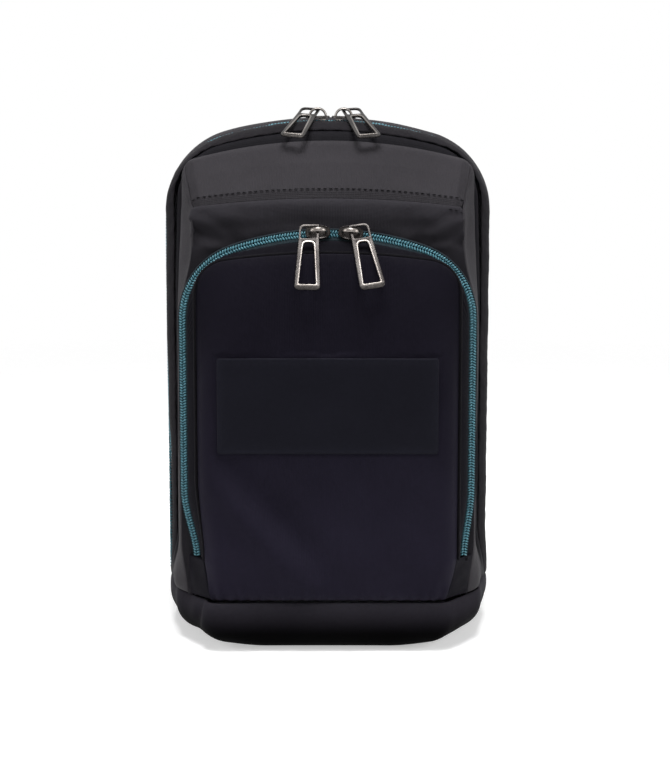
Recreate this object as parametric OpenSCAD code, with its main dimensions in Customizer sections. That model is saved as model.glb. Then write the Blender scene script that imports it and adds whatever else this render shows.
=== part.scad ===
// Soft zipped carrying case for a portable launch monitor, closed and standing on its base.
// X is width, the front faces -Y, Z is up. The origin is on the floor below the main zip.

/* [Case] */
// Half width at the main zip
case_half_w = 103.5; // [95:0.5:115]
// Height of the crown at the main zip
case_h = 324.5; // [300:0.5:350]
// Radius of the case's upper corners
corner_r = 44; // [35:1:55]
// Radius of the crowned top edge
crown_r = 240; // [220:5:400]
// Depth of the rear shell behind the main zip
rear_depth = 75; // [65:1:90]
// How far the rear shell narrows from the zip to its back edge
rear_taper = 6; // [3:0.5:9]
// Distance from the main zip to the horizontal seam of the top panel
flap_depth = 60; // [52:1:70]
// Height of the seam between the boot and the walls above it
boot_h = 32; // [26:1:40]

/* [Front shell] */
// Depth of the band that runs beside the main zip
band_depth = 15.6; // [12:0.2:20]
// How far the band narrows towards the front
band_taper = 7; // [5:0.5:9]
// Width of the groove between the band and the front shell
groove_w = 5; // [3:0.5:7]
// Half width of the front shell behind the groove
shell_half_w = 93; // [88:0.5:95]
// Height of the front shell behind the groove
shell_h = 314; // [308:0.5:316]
// Height of the seam at the front of the top panel
seam_h = 279; // [270:0.5:290]

/* [Front pocket] */
// Half width of the pocket zip's outer edge
pocket_half_w = 92; // [86:0.5:92.5]
// Height of the pocket zip's outer edge
pocket_h = 261.4; // [250:0.2:266]
// Radius of the pocket zip's corners
pocket_corner_r = 48; // [40:1:60]
// Radius of the pocket zip's crowned top
pocket_crown_r = 180; // [150:5:300]
// Height at which the pocket zip ends
pocket_end_h = 58; // [48:1:70]
// Distance from the front panel to the pocket's rim
pocket_depth = 16; // [13:0.5:20]
// How far the pocket's face swells past its rim
face_swell = 10; // [7:0.5:14]
// Half width of the pocket's face
face_half_w = 79.5; // [76:0.5:81]
// Height of the pocket's face
face_h = 242; // [234:0.5:245]
// Radius of the face's upper corners
face_corner_r = 30; // [24:1:40]

/* [Label patch] */
// Half width of the patch
patch_half_w = 67; // [50:0.5:67]
// Height of the patch
patch_h = 59; // [40:1:60]
// Height of the patch's lower edge
patch_z = 126; // [110:1:128]
// Thickness of the patch
patch_t = 0.9; // [0.6:0.1:1.5]

/* [Cloth and foam] */
// Thickness of the outer cloth
cloth_t = 1.6; // [1.2:0.1:2]
// Thickness of the foam in the walls
foam_t = 6; // [4:0.5:7]
// Thickness of the lining
lining_t = 0.8; // [0.5:0.1:1.2]
// Thickness of the boot
boot_t = 3; // [2:0.2:4]
// Radius of the boot's lower edge
boot_r = 20; // [16:1:24]
// Thickness of the board in the base
board_t = 2.5; // [1.5:0.1:3]
// Width of the piping cord
piping_w = 3; // [2:0.2:4]

/* [Zips] */
// Width of one row of the zip's coil
coil_w = 2.6; // [2.2:0.1:3]
// Thickness of the coil
coil_t = 2; // [1.6:0.1:2.4]
// Gap between the two rows
coil_gap = 1; // [0.8:0.1:1.2]
// Thickness of the zip tape
tape_t = 0.6; // [0.4:0.1:0.8]

/* [Sliders and pulls] */
// Length of a slider along its zip
slider_l = 15; // [12:0.5:18]
// Width of a slider's upper plate
slider_w = 8; // [7:0.5:9]
// Thickness of a slider's plates
plate_t = 1; // [0.8:0.1:1.3]
// Radius of the bow on a slider, to the middle of its wire
bow_r = 5; // [4.8:0.1:5.5]
// Radius of the bow's wire
bow_wire_r = 0.8; // [0.6:0.05:0.9]
// Length of a pull below the bow
pull_l = 40; // [30:1:44]
// Length of a pull's eye above the bow
eye_l = 3.7; // [3.2:0.1:4.5]
// Thickness of a pull
pull_t = 1.8; // [1.4:0.1:2]
// Width of a pull's rim
rim_w = 3.4; // [2.5:0.1:4]
// Angle of the left main slider from the middle of the top
main_left_a = 1.5; // [1.4:0.1:4]
// Angle of the right main slider from the middle of the top
main_right_a = 2.4; // [1.4:0.1:4]
// Angle of the left pocket slider from the middle of the top
pocket_left_a = 1.9; // [1.8:0.1:4]
// Angle of the right pocket slider from the middle of the top
pocket_right_a = 4.5; // [2.5:0.1:6]
// Angle at which a main pull drops over the top
main_pull_drop = 26; // [22:1:27]
// Angle by which the main pulls lean away from each other
main_pull_lean = 16; // [0:1:20]
// Angle at which the pocket sliders face upwards
pocket_slider_tilt = 25; // [24:1:28]
// Sideways lean of the left pocket pull
pocket_left_lean = 2.9; // [0:0.1:10]
// Sideways lean of the right pocket pull
pocket_right_lean = 14.9; // [0:0.1:18]

/* [Haul loop] */
// Half distance between the loop's two legs
loop_half_w = 28; // [24:1:34]
// Width of the loop's webbing
webbing_w = 18; // [14:1:20]
// Thickness of the loop's webbing
webbing_t = 2.5; // [2:0.1:3]
// Height of the stitching that holds the loop
loop_z = 280; // [262:1:282]
// Length of the loop's straight legs
loop_leg = 12; // [8:1:16]

/* [Hidden] */

shell_c = [0.20, 0.20, 0.22];
dark_c = [0.10, 0.10, 0.12];
foam_c = [0.35, 0.35, 0.38];
lining_c = [0.45, 0.46, 0.50];
teal_c = [0.16, 0.48, 0.55];
metal_c = [0.55, 0.52, 0.50];

gap = 0.3;      // running gap between pieces that move apart
seat = 0.1;     // gap between layers of one body
pad_gap = 0.5;  // gap on either side of the foam
pad_side = 13.5; // from the side of the pocket's face to its padding
pad_top = 56;    // from the top of the pocket's face to its padding
anchor_h = 20;   // height of the patches that hold the haul loop
corner_n = 8;   // steps in a corner arc
crown_n = 12;   // steps across the crown
crease_n = 6;   // step of the corner arc at which the top panel meets the side

path_n = 2 * corner_n + crown_n + 3;
right_side = [0, crease_n + 1];
left_side = [path_n - 2 - crease_n, path_n - 1];
top_side = [crease_n + 1, path_n - 2 - crease_n];
whole = [0, path_n - 1];

// A section is [y, half width, bottom, top, corner radius, crown radius].
coil_end = coil_gap / 2 + coil_w;
wall_z = boot_h + gap;
band_y = -(coil_end + gap);
groove_y = band_y - band_depth;
shell_y = groove_y - groove_w;
seam_y = -flap_depth;
panel_y = seam_y - 2 * cloth_t + 1.2;
panel_front_y = panel_y - 2;
rim_y = panel_front_y - pocket_depth;
face_y = rim_y - face_swell;
boot_front_y = face_y + 6;
coil_y = panel_front_y - 4;
seam_half_w = shell_half_w - 1.5;
mid_y = (shell_y + seam_y) / 2;
mid_h = (shell_h + seam_h) / 2 + 2;
crown_z = case_h - crown_r;
pocket_crown_z = pocket_h - pocket_crown_r;

function rear_section(y, lost) =
    [y, case_half_w - lost, wall_z - gap, case_h - 2 * lost, corner_r - lost / 2, crown_r - lost];
rear_edge_y = rear_depth - 13;
rear_rings = [rear_section(coil_end + gap, 0), rear_section(rear_edge_y / 3, 0.6),
              rear_section(rear_edge_y * 0.72, rear_taper * 0.45), rear_section(rear_edge_y, rear_taper)];
back_rings = [rear_section(rear_edge_y, rear_taper), rear_section(rear_depth - 6, rear_taper + 3),
              rear_section(rear_depth - 1.5, rear_taper + 10), rear_section(rear_depth, rear_taper + 17)];
band_rings = [[band_y, case_half_w - 0.3, wall_z, case_h - 0.3, corner_r, crown_r],
              [band_y - band_depth / 2, case_half_w - band_taper * 0.35, wall_z,
               case_h - band_taper * 0.4, corner_r - 2, crown_r],
              [groove_y, case_half_w - band_taper, wall_z, case_h - band_taper, corner_r - 4, crown_r]];
shell_rings = [[shell_y, shell_half_w, wall_z, shell_h, corner_r - 6, crown_r],
               [mid_y, (shell_half_w + seam_half_w) / 2 + 0.5, wall_z, mid_h, corner_r * 0.64, 1.7 * crown_r],
               [seam_y, seam_half_w, wall_z, seam_h, corner_r * 0.4, 3 * crown_r]];
zip_section = [0, case_half_w, wall_z, case_h, corner_r, crown_r];
pocket_section = [0, pocket_half_w, pocket_end_h, pocket_h, pocket_corner_r, pocket_crown_r];
rim_section = [rim_y, face_half_w, pocket_end_h + gap, face_h, face_corner_r, pocket_crown_r];
gusset_y = coil_y - coil_t - 2;
gusset_lost = coil_gap + 2 * coil_w + 1.1;

// ---- Paths, rings and lofts ----

function arc(cx, cz, r, from, to, n) =
    [for (i = [0:n]) let (a = from + (to - from) * i / n) [cx + r * cos(a), cz + r * sin(a)]];

function moved(s, y) = [y, s[1], s[2], s[3], s[4], s[5]];
function inset(s, d) = [s[0], s[1] - d, s[2], s[3] - d, max(s[4] - d, 1), s[5] - d];

// Open path up the right side, over the crown and down the left side of a section.
function hoop(s) =
    let (w = s[1], r = s[4], big = s[5], x = w - r, cz = s[3] - big,
         corner_z = cz + sqrt((big - r) * (big - r) - x * x), a = acos(x / (big - r)))
    concat([[w, s[2]]],
           arc(x, corner_z, r, 0, a, corner_n),
           [for (i = [1:crown_n - 1]) let (t = a + (180 - 2 * a) * i / crown_n)
               [big * cos(t), cz + big * sin(t)]],
           arc(-x, corner_z, r, 180 - a, 180, corner_n),
           [[-w, s[2]]]);

function at_y(path, y) = [for (p = path) [p[0], y, p[1]]];
function part_of(path, span) = [for (i = [span[0]:span[1]]) path[i]];
function reversed(path) = [for (i = [len(path) - 1:-1:0]) path[i]];

// Cross-section of a wall of thickness t that lies inside a section, over part of its path.
function wall_ring(s, t, span) =
    at_y(concat(part_of(hoop(s), span), reversed(part_of(hoop(inset(s, t)), span))), s[0]);

// Triangles between ring j and the next one, each ring with n points. The last quad is cut along its
// other diagonal, so that walls that share an end also share its faces.
function skin_between(j, n) =
    [for (i = [0:n - 1]) let (k = (i + 1) % n)
        for (f = i == n - 1
                 ? [[j * n + i, j * n + k, (j + 1) * n + i], [j * n + k, (j + 1) * n + k, (j + 1) * n + i]]
                 : [[j * n + i, j * n + k, (j + 1) * n + k], [j * n + i, (j + 1) * n + k, (j + 1) * n + i]]) f];

// Triangles across a ring whose point i lies opposite point n - 1 - i.
function strip_cap(n) =
    [for (i = [0:n / 2 - 2]) for (f = [[i, i + 1, n - 2 - i], [i, n - 2 - i, n - 1 - i]]) f];

// Skins a list of rings, which run from the front to the back, and closes both ends.
module loft(rings) {
    n = len(rings[0]);
    last = len(rings) - 1;
    cap = n % 2 == 0 ? strip_cap(n) : concat(strip_cap(n - 1), [[0, n - 2, n - 1]]);
    polyhedron([for (r = rings) for (p = r) p],
               concat([for (j = [0:last - 1]) each skin_between(j, n)],
                      [for (f = cap) [f[2], f[1], f[0]]],
                      [for (f = cap) [last * n + f[0], last * n + f[1], last * n + f[2]]]),
               convexity = 8);
}

module wall(sections, depth, t, span) {
    front_first = sections[0][0] < sections[len(sections) - 1][0] ? sections : reversed(sections);
    loft([for (s = front_first) wall_ring(inset(s, depth), t, span)]);
}

function raised(s, d) = [s[0], s[1], s[2] + d, s[3], s[4], s[5]];

// A dished panel: its outer skin, and the same skin set back by t.
module dish(sections, t, outward) {
    skin = [for (s = sections) at_y(hoop(s), s[0])];
    inner = [for (s = sections)
        at_y(hoop(raised(inset(s, t), t)), s[0] - outward * (s[0] == sections[0][0] ? 0 : t))];
    if (outward > 0)
        loft(concat(reversed(inner), skin));
    else
        loft(concat(reversed(skin), inner));
}

module slab(s, t) {
    loft([at_y(hoop(s), s[0]), at_y(hoop(s), s[0] + t)]);
}

// ---- Base ----

// Corners of the base's flat underside, from the back to the front.
function base_corners() =
    [[case_half_w - boot_r - 4.5, rear_depth - boot_r], [case_half_w - boot_r, -2],
     [case_half_w - boot_r - 9.5, boot_front_y / 2], [case_half_w - boot_r - 26.5, boot_front_y + boot_r]];
function base_outline() =
    concat(base_corners(), [for (c = reversed(base_corners())) [-c[0], c[1]]]);

module boot_form(r) {
    hull()
        for (c = base_outline())
            translate([c[0], c[1], boot_r])
                rotate_extrude($fn = 32)
                    polygon(concat([[0, boot_h]], arc(0, 0, r, -90, 0, 6), [[r, boot_h]]));
}

module base_boot() {
    color(shell_c)
        difference() {
            boot_form(boot_r);
            boot_form(boot_r - boot_t);
            translate([0, 0, boot_h + case_half_w])
                cube([4 * case_half_w, 6 * rear_depth, 2 * case_half_w], center = true);
        }
}

module base_board() {
    color(dark_c)
        translate([0, 0, boot_t + seat])
            linear_extrude(board_t) polygon(base_outline());
}

base_foam_z = boot_t + board_t + 2 * seat;

module base_foam() {
    color(foam_c)
        translate([0, 0, base_foam_z])
            linear_extrude(foam_t) offset(delta = foam_t) polygon(base_outline());
}

module base_lining() {
    color(lining_c)
        translate([0, 0, base_foam_z + foam_t + seat])
            linear_extrude(lining_t) offset(delta = foam_t) polygon(base_outline());
}

// ---- Rear shell ----

foam_in = cloth_t + pad_gap;
lining_in = foam_in + foam_t + pad_gap;

module rear_gusset() { color(shell_c) wall(rear_rings, 0, cloth_t, whole); }

module back_panel() {
    color(shell_c)
        translate([0, seat, 0]) dish(back_rings, cloth_t, 1);
}

module back_piping() {
    color(dark_c)
        wall([rear_section(rear_edge_y - piping_w / 2, rear_taper - 0.3),
              rear_section(rear_edge_y + piping_w / 2, rear_taper + 0.5)], -1.4, 1.1, whole);
}

function rear_pad_rings() =
    [rear_section(tape_end, 0.3), rear_rings[1], rear_rings[2], moved(rear_rings[3], rear_edge_y - 1)];
tape_end = coil_end + 6;

module rear_foam_left() { color(foam_c) wall(rear_pad_rings(), foam_in, foam_t, left_side); }
module rear_foam_right() { color(foam_c) wall(rear_pad_rings(), foam_in, foam_t, right_side); }
module rear_foam_top() { color(foam_c) wall(rear_pad_rings(), foam_in, foam_t, top_side); }
module rear_lining() { color(lining_c) wall(rear_pad_rings(), lining_in, lining_t, whole); }

module back_foam() {
    rings = [for (i = [1:3])
        raised(inset(moved(back_rings[i], back_rings[i][0] - cloth_t - 0.5), cloth_t + 1), cloth_t + seat)];
    color(foam_c)
        loft(concat([at_y(hoop(rings[0]), rear_edge_y + seat)], [for (s = rings) at_y(hoop(s), s[0])]));
}

module back_lining() {
    color(lining_c)
        slab(inset(moved(back_rings[1], rear_edge_y - lining_t), foam_in), lining_t);
}

// One row of a zip's coil: side 0 is the outer or rear row, side 1 the inner or front row.
module main_row(side) {
    y = side == 0 ? coil_gap / 2 : -coil_end;
    color(teal_c)
        wall([moved(zip_section, y), moved(zip_section, y + coil_w)], 0, coil_t, whole);
}

module main_tape(side) {
    from = side == 0 ? coil_end - 1 : -tape_end;
    to = side == 0 ? tape_end - seat : -coil_end + 1;
    color(dark_c)
        wall([inset(moved(zip_section, from), side == 0 ? 0 : 2),
              inset(moved(zip_section, to), side == 0 ? 0.3 : 0)],
             coil_t + seat, tape_t, whole);
}

module main_zip_tape_rear() { main_tape(0); }
module main_zip_coil_rear() { main_row(0); }

module haul_anchor() {
    color(dark_c)
        for (x = [-1, 1] * loop_half_w)
            translate([x - webbing_w / 2 - 2, rear_depth + 2 * seat, loop_z - 0.7 * anchor_h])
                cube([webbing_w + 4, 0.8, anchor_h]);
}

// ---- Front shell ----

module zip_band() { color(shell_c) wall(band_rings, 0, cloth_t, whole); }

// Joins the band to the front shell at the bottom of the groove between them.
module flap_seam_welt() {
    sunk = 2.4;
    color(dark_c)
        wall([inset([groove_y - seat, case_half_w - band_taper, wall_z, case_h - band_taper, corner_r - 4, crown_r], 0),
              inset([shell_y + seat, shell_half_w, wall_z, shell_h, corner_r - 6, crown_r], 0)],
             sunk - cloth_t, cloth_t, whole);
}

module flap_gusset_left() { color(shell_c) wall(gusset_rings(), 0, cloth_t, left_side); }
module flap_gusset_right() { color(shell_c) wall(gusset_rings(), 0, cloth_t, right_side); }
module top_panel() { color(shell_c) wall(gusset_rings(), 0, cloth_t, top_side); }

// The gussets and the top panel run on past the seam to the front panel's face.
function gusset_rings() = concat([moved(shell_rings[2], panel_front_y)], reversed(shell_rings));

front_half_w = seam_half_w - cloth_t - seat;
front_section = inset(moved(shell_rings[2], panel_front_y), cloth_t + seat);

// The wall behind the pocket, up to the pocket's zip.
module front_panel() {
    color(shell_c)
        translate([-front_half_w, panel_front_y, wall_z])
            cube([2 * front_half_w, panel_y - panel_front_y, hoop(front_section)[1][1] - seat - wall_z]);
}

// The strip between the pocket's zip and the top panel's seam.
module yoke_panel() {
    upper = part_of(hoop(front_section), [1, path_n - 2]);
    color(shell_c)
        loft([at_y(upper, panel_front_y), at_y(upper, panel_y)]);
}

function flap_pad_rings() = [moved(shell_rings[0], shell_y), shell_rings[1], moved(shell_rings[2], seam_y + foam_t + 2)];

module flap_foam_left() { color(foam_c) wall(flap_pad_rings(), foam_in, foam_t, left_side); }
module flap_foam_right() { color(foam_c) wall(flap_pad_rings(), foam_in, foam_t, right_side); }
module flap_foam_top() { color(foam_c) wall(flap_pad_rings(), foam_in, foam_t, top_side); }
module flap_lining() { color(lining_c) wall(flap_pad_rings(), lining_in, lining_t, whole); }

module flap_foam_front() {
    color(foam_c)
        translate([-front_half_w + foam_t, panel_y + seat, wall_z])
            cube([2 * (front_half_w - foam_t), foam_t, seam_h - 3 * foam_t - wall_z]);
}

module front_lining() {
    color(lining_c)
        translate([-front_half_w + 2 * foam_t, panel_y + 2 * seat + foam_t, wall_z])
            cube([2 * (front_half_w - 2 * foam_t), lining_t, seam_h - 5 * foam_t - wall_z]);
}

module main_zip_tape_front() { main_tape(1); }
module main_zip_coil_front() { main_row(1); }

// ---- Pocket zip ----

row_step = 1.6; // the row next to the pocket lies this far in front of the other

module pocket_row(section, depth, y) {
    color(teal_c)
        wall([moved(section, y - coil_t), moved(section, y)], depth, coil_w, whole);
}

module pocket_zip_coil_body() { pocket_row(pocket_section, 0, coil_y); }
module pocket_zip_coil_flap() {
    pocket_row(raised(pocket_section, gap), coil_w + coil_gap, coil_y - row_step);
}

module pocket_zip_tape_body() {
    color(dark_c)
        wall([moved(pocket_section, coil_y + seat), moved(pocket_section, panel_front_y - seat)],
             0.6, tape_t, whole);
}

module pocket_zip_tape_flap() {
    front_y = coil_y - row_step - coil_t - seat;
    color(dark_c)
        wall([raised(inset(moved(pocket_section, gusset_y - 1), 1.6), gap), raised(moved(pocket_section, front_y), gap)],
             gusset_lost - 1.7, tape_t, whole);
}

// ---- Fixed part of the pocket, below its zip ----

// Side wall of the pocket between the zip's end and the boot.
module pocket_corner(side) {
    back_y = panel_front_y - seat;
    front_y = rim_y + cloth_t + seat;
    high = [[pocket_half_w - coil_w - 1, back_y], [face_half_w + 0.5, front_y]];
    low = [[pocket_half_w - 5, back_y], [face_half_w - 2.5, front_y]];
    color(shell_c)
        mirror([side < 0 ? 1 : 0, 0, 0])
            loft([upright_ring(low, wall_z, 0), upright_ring(high, pocket_end_h, 0)]);
}

// Level cross-section of a wall that follows a path of points and is cloth_t thick.
function upright_ring(path, z, back) =
    at_z(concat(path, reversed([for (p = path) [p[0] - sign(p[0]) * cloth_t, p[1] + back * cloth_t]])), z);
function at_z(path, z) = [for (p = path) [p[0], p[1], z]];
function mirrored(path) = concat(path, [for (p = reversed(path)) [-p[0], p[1]]]);

module pocket_corner_left() { pocket_corner(-1); }
module pocket_corner_right() { pocket_corner(1); }

module pocket_front_lower() {
    low = [[face_half_w - 3, rim_y - seat], [face_half_w - 12, boot_front_y]];
    high = [[face_half_w, rim_y - seat], [face_half_w - 12, face_y]];
    color(shell_c)
        loft([upright_ring(mirrored(low), wall_z, 1), upright_ring(mirrored(high), pocket_end_h, 1)]);
}

module zip_end_tabs() {
    color(dark_c)
        for (side = [-1, 1])
            translate([side * (pocket_half_w - 3), coil_y - coil_t / 2, pocket_end_h - 4])
                cube([6, coil_t, 7 - gap], center = true);
}

// ---- Pocket flap ----

module pocket_gusset() {
    start = [gusset_y - 1 - seat, pocket_half_w - gusset_lost, pocket_end_h + gap, pocket_h - gusset_lost - 1,
             pocket_corner_r - gusset_lost, pocket_crown_r - gusset_lost];
    color(shell_c) wall([rim_section, start], 0, cloth_t, whole);
}

module pocket_piping() {
    color(dark_c)
        wall([moved(rim_section, rim_y - piping_w / 2), moved(rim_section, rim_y - seat)], -0.8, 0.8 + cloth_t, whole);
}

face_rings = [for (f = [[0, 0.4, 0], [2, 0.55, 6], [5, 0.8, 20], [8.5, 0.94, 36], [11.5, 1, 52]])
    [rim_y - piping_w / 2 - seat - (face_swell - piping_w / 2 - seat) * (f[1] - 0.4) / 0.6,
     face_half_w - f[0], pocket_end_h + gap, face_h - f[2], face_corner_r - f[0], pocket_crown_r + 4 * f[2]]];

module pocket_face() { color(dark_c) dish(face_rings, cloth_t, -1); }

pad_y = face_y + cloth_t + seat;
pocket_pad_t = 2;
function pad_section(y) =
    [y, face_half_w - pad_side, pocket_end_h + 4, face_h - pad_top, face_corner_r, pocket_crown_r];

module pocket_foam() {
    color(foam_c)
        slab(pad_section(pad_y), pocket_pad_t);
}

module pocket_lining() {
    color(lining_c)
        slab(pad_section(pad_y + pocket_pad_t + seat), lining_t);
}

module label_patch() {
    color([0.13, 0.14, 0.18])
        translate([-patch_half_w, face_y - patch_t - seat / 2, patch_z])
            cube([2 * patch_half_w, patch_t, patch_h]);
}

// ---- Sliders: x runs along the zip, y across it towards the part that carries the slider, z outwards ----

main_lift = 0.4;    // from the coil's face to the slider's upper plate
pocket_lift = 1.2;
main_under = 4.2;   // from the coil's face to the middle of the slider's lower plate
pocket_under = 3.2;
post_t = 0.4;
leg_up = 3.1;       // from the upper plate to the pull's leg
leg_r = 0.85;
function leg_z(lift) = lift + plate_t + leg_up;

// The post runs between the two rows, turned by tilt about the zip, to a lower plate on the carrying side.
module slider(lift, under, tilt, nose) {
    color(metal_c) {
        translate([0, 0, lift]) {
            linear_extrude(plate_t) intersection() {
                square([slider_l, slider_w], center = true);
                translate([-nose * slider_w / 2, 0]) circle(r = slider_l / 2 + slider_w / 2 - 1, $fn = 48);
            }
        }
        translate([0, 0, lift + plate_t]) rotate([90, 0, 0])
            rotate_extrude(angle = 180, $fn = 48) translate([bow_r, 0]) circle(r = bow_wire_r, $fn = 24);
        rotate([-tilt, 0, 0]) {
            translate([nose * slider_l / 5, 0, (lift + plate_t / 2 - under) / 2])
                cube([4, post_t, lift + plate_t / 2 + under], center = true);
            translate([nose * slider_l / 5, (slider_w - post_t) / 4, -under])
                cube([slider_l / 2, (slider_w + post_t) / 2, plate_t], center = true);
        }
    }
}

// ---- Pull: hangs along -y from its leg, which runs along y through the slider's bow ----

module pull(side) {
    neck = 6.2;
    mid = 5.4;
    half_top = 6;
    half_low = 7.8;
    color(metal_c)
        mirror([side > 0 ? 1 : 0, 0, 0]) {
            translate([-mid, 0, -pull_t / 2]) linear_extrude(pull_t) difference() {
                polygon([[-half_top, -neck], [-half_low, 2 - pull_l], [2 - half_low, -pull_l],
                         [half_low - 2, -pull_l], [half_low, 2 - pull_l], [half_top, -neck]]);
                polygon([[rim_w - half_top, -neck - 4], [rim_w - half_low, 4 - pull_l],
                         [half_low - rim_w, 4 - pull_l], [half_top - rim_w, -neck - 4], [0, -neck - 2.5]]);
            }
            translate([-mid, 0, -pull_t / 2]) linear_extrude(pull_t) difference() {
                polygon([[-half_top, -neck], [-half_top, eye_l - 4], [4 - half_top, eye_l], [mid, eye_l],
                         [mid, eye_l - 1.5], [4.3 - half_top, eye_l - 1.5], [1.4 - half_top, eye_l - 4.4],
                         [1.4 - half_top, -neck]]);
            }
            translate([0, -neck - 0.2, 0]) rotate([-90, 0, 0]) cylinder(r = leg_r, h = neck + eye_l + 0.2, $fn = 24);
        }
}

// Places a piece on the crown of a zip, turned by an angle about the crown's centre.
module on_main_zip(a) {
    translate([0, 0, crown_z]) rotate([0, a, 0]) translate([0, 0, crown_r]) mirror([0, 1, 0]) children();
}

module on_pocket_zip(a) {
    chain_r = pocket_crown_r - coil_w - coil_gap / 2;
    translate([0, coil_y - coil_t - row_step / 2, pocket_crown_z]) rotate([0, a, 0])
        translate([0, 0, chain_r]) rotate([90 - pocket_slider_tilt, 0, 0]) mirror([0, 1, 0]) children();
}

module main_slider_left() { on_main_zip(-main_left_a) slider(main_lift, main_under, 0, 1); }
module main_slider_right() { on_main_zip(main_right_a) slider(main_lift, main_under, 0, -1); }
module pocket_slider(nose) { slider(pocket_lift, pocket_under, pocket_slider_tilt, nose); }
module pocket_slider_left() { on_pocket_zip(-pocket_left_a) pocket_slider(1); }
module pocket_slider_right() { on_pocket_zip(pocket_right_a) pocket_slider(-1); }

// A pull in its slider's own frame: side -1 leans left, side 1 leans right.
module hung_pull(lift, drop, lean, side) {
    translate([0, 0, leg_z(lift)]) rotate([-drop, 0, 0]) rotate([0, 0, -side * lean]) mirror([0, 1, 0]) pull(side);
}

module main_pull_left() { on_main_zip(-main_left_a) hung_pull(main_lift, main_pull_drop, main_pull_lean, -1); }
module main_pull_right() { on_main_zip(main_right_a) hung_pull(main_lift, main_pull_drop, main_pull_lean, 1); }
module pocket_pull_left() { on_pocket_zip(-pocket_left_a) hung_pull(pocket_lift, 0, pocket_left_lean, -1); }
module pocket_pull_right() { on_pocket_zip(pocket_right_a) hung_pull(pocket_lift, 0, pocket_right_lean, 1); }

// ---- Haul loop ----

module haul_loop() {
    outer = loop_half_w + webbing_w / 2;
    inner = loop_half_w - webbing_w / 2;
    y = rear_depth + 2 * seat + 0.8 + gap;
    color(dark_c)
        translate([0, y + webbing_t, loop_z]) rotate([90, 0, 0]) linear_extrude(webbing_t) difference() {
            union() {
                translate([-outer, -loop_leg]) square([2 * outer, loop_leg]);
                translate([0, -loop_leg]) circle(r = outer, $fn = 64);
            }
            translate([0, -loop_leg]) circle(r = inner, $fn = 64);
            translate([-inner, -loop_leg]) square([2 * inner, 2 * outer]);
            translate([-2 * outer, 0]) square([4 * outer, 2 * outer]);
        }
}

base_boot();
base_board();
base_foam();
base_lining();
rear_gusset();
back_panel();
back_piping();
rear_foam_left();
rear_foam_right();
rear_foam_top();
back_foam();
rear_lining();
back_lining();
main_zip_tape_rear();
main_zip_coil_rear();
haul_anchor();
zip_band();
flap_seam_welt();
flap_gusset_left();
flap_gusset_right();
top_panel();
yoke_panel();
front_panel();
flap_foam_left();
flap_foam_right();
flap_foam_top();
flap_foam_front();
flap_lining();
front_lining();
main_zip_tape_front();
main_zip_coil_front();
pocket_zip_tape_body();
pocket_zip_coil_body();
pocket_corner_left();
pocket_corner_right();
pocket_front_lower();
zip_end_tabs();
pocket_gusset();
pocket_piping();
pocket_face();
pocket_foam();
pocket_lining();
pocket_zip_tape_flap();
pocket_zip_coil_flap();
label_patch();
main_slider_left();
main_slider_right();
pocket_slider_left();
pocket_slider_right();
main_pull_left();
main_pull_right();
pocket_pull_left();
pocket_pull_right();
haul_loop();
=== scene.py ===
import math

import bmesh
import bpy
from mathutils import Matrix, Vector, noise


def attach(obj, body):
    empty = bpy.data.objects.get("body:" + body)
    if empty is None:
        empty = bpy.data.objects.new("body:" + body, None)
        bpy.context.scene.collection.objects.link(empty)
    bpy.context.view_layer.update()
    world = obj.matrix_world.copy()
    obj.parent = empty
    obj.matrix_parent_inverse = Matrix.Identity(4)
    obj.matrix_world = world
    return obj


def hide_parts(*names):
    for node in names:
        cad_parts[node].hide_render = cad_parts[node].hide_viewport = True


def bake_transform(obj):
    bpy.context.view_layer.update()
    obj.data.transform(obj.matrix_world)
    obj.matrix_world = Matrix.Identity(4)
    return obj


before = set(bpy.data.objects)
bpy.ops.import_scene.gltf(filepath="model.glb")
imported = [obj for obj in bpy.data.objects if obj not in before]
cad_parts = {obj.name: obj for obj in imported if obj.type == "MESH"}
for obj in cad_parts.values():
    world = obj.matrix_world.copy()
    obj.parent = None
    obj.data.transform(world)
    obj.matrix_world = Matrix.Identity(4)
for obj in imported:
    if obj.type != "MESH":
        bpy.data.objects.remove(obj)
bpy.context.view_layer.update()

# ---- Camera ----
# It stands in front of the case at table height, 1.3 m from the middle, and looks down on it by 9 degrees.
look_at = Vector((0, 0, 0.165))
look_down = math.radians(9)
stand_off = 1.3


def linked(name, data):
    """A new object at the origin, in the scene."""
    obj = bpy.data.objects.new(name, data)
    bpy.context.scene.collection.objects.link(obj)
    return obj


camera_data = bpy.data.cameras.new("camera")
camera_data.lens = 95.6
camera_data.sensor_width = 36
camera_data.shift_x = 0.0096
camera_data.shift_y = -0.0158
camera_data.clip_end = 30
camera = linked("camera", camera_data)
camera.location = look_at + stand_off * Vector((0, -math.cos(look_down), math.sin(look_down)))
camera.rotation_euler = (math.pi / 2 - look_down, 0, 0)
bpy.context.scene.camera = camera

# ---- Studio ----
# White sweep under and behind the case, a wide softbox overhead, one at each side and a weak one in front.
bpy.context.scene.view_settings.view_transform = "Standard"


def softbox(name, place, aim, width, power):
    """A square studio lamp that points from its place at aim."""
    data = bpy.data.lights.new(name, "AREA")
    data.shape = "SQUARE"
    data.size = width
    data.energy = power
    lamp = linked(name, data)
    lamp.location = place
    lamp.rotation_euler = (Vector(aim) - Vector(place)).to_track_quat("-Z", "Y").to_euler()


softbox("softbox_top", (0, -0.40, 1.6), (0, 0, 0.2), 0.7, 30)
softbox("softbox_left", (-1.5, -0.5, 0.7), (0, 0, 0.16), 0.9, 12)
softbox("softbox_right", (1.5, -0.5, 0.7), (0, 0, 0.16), 0.9, 13)
softbox("softbox_front", (0.2, -1.9, 0.9), (0, 0, 0.16), 0.8, 3)


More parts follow.
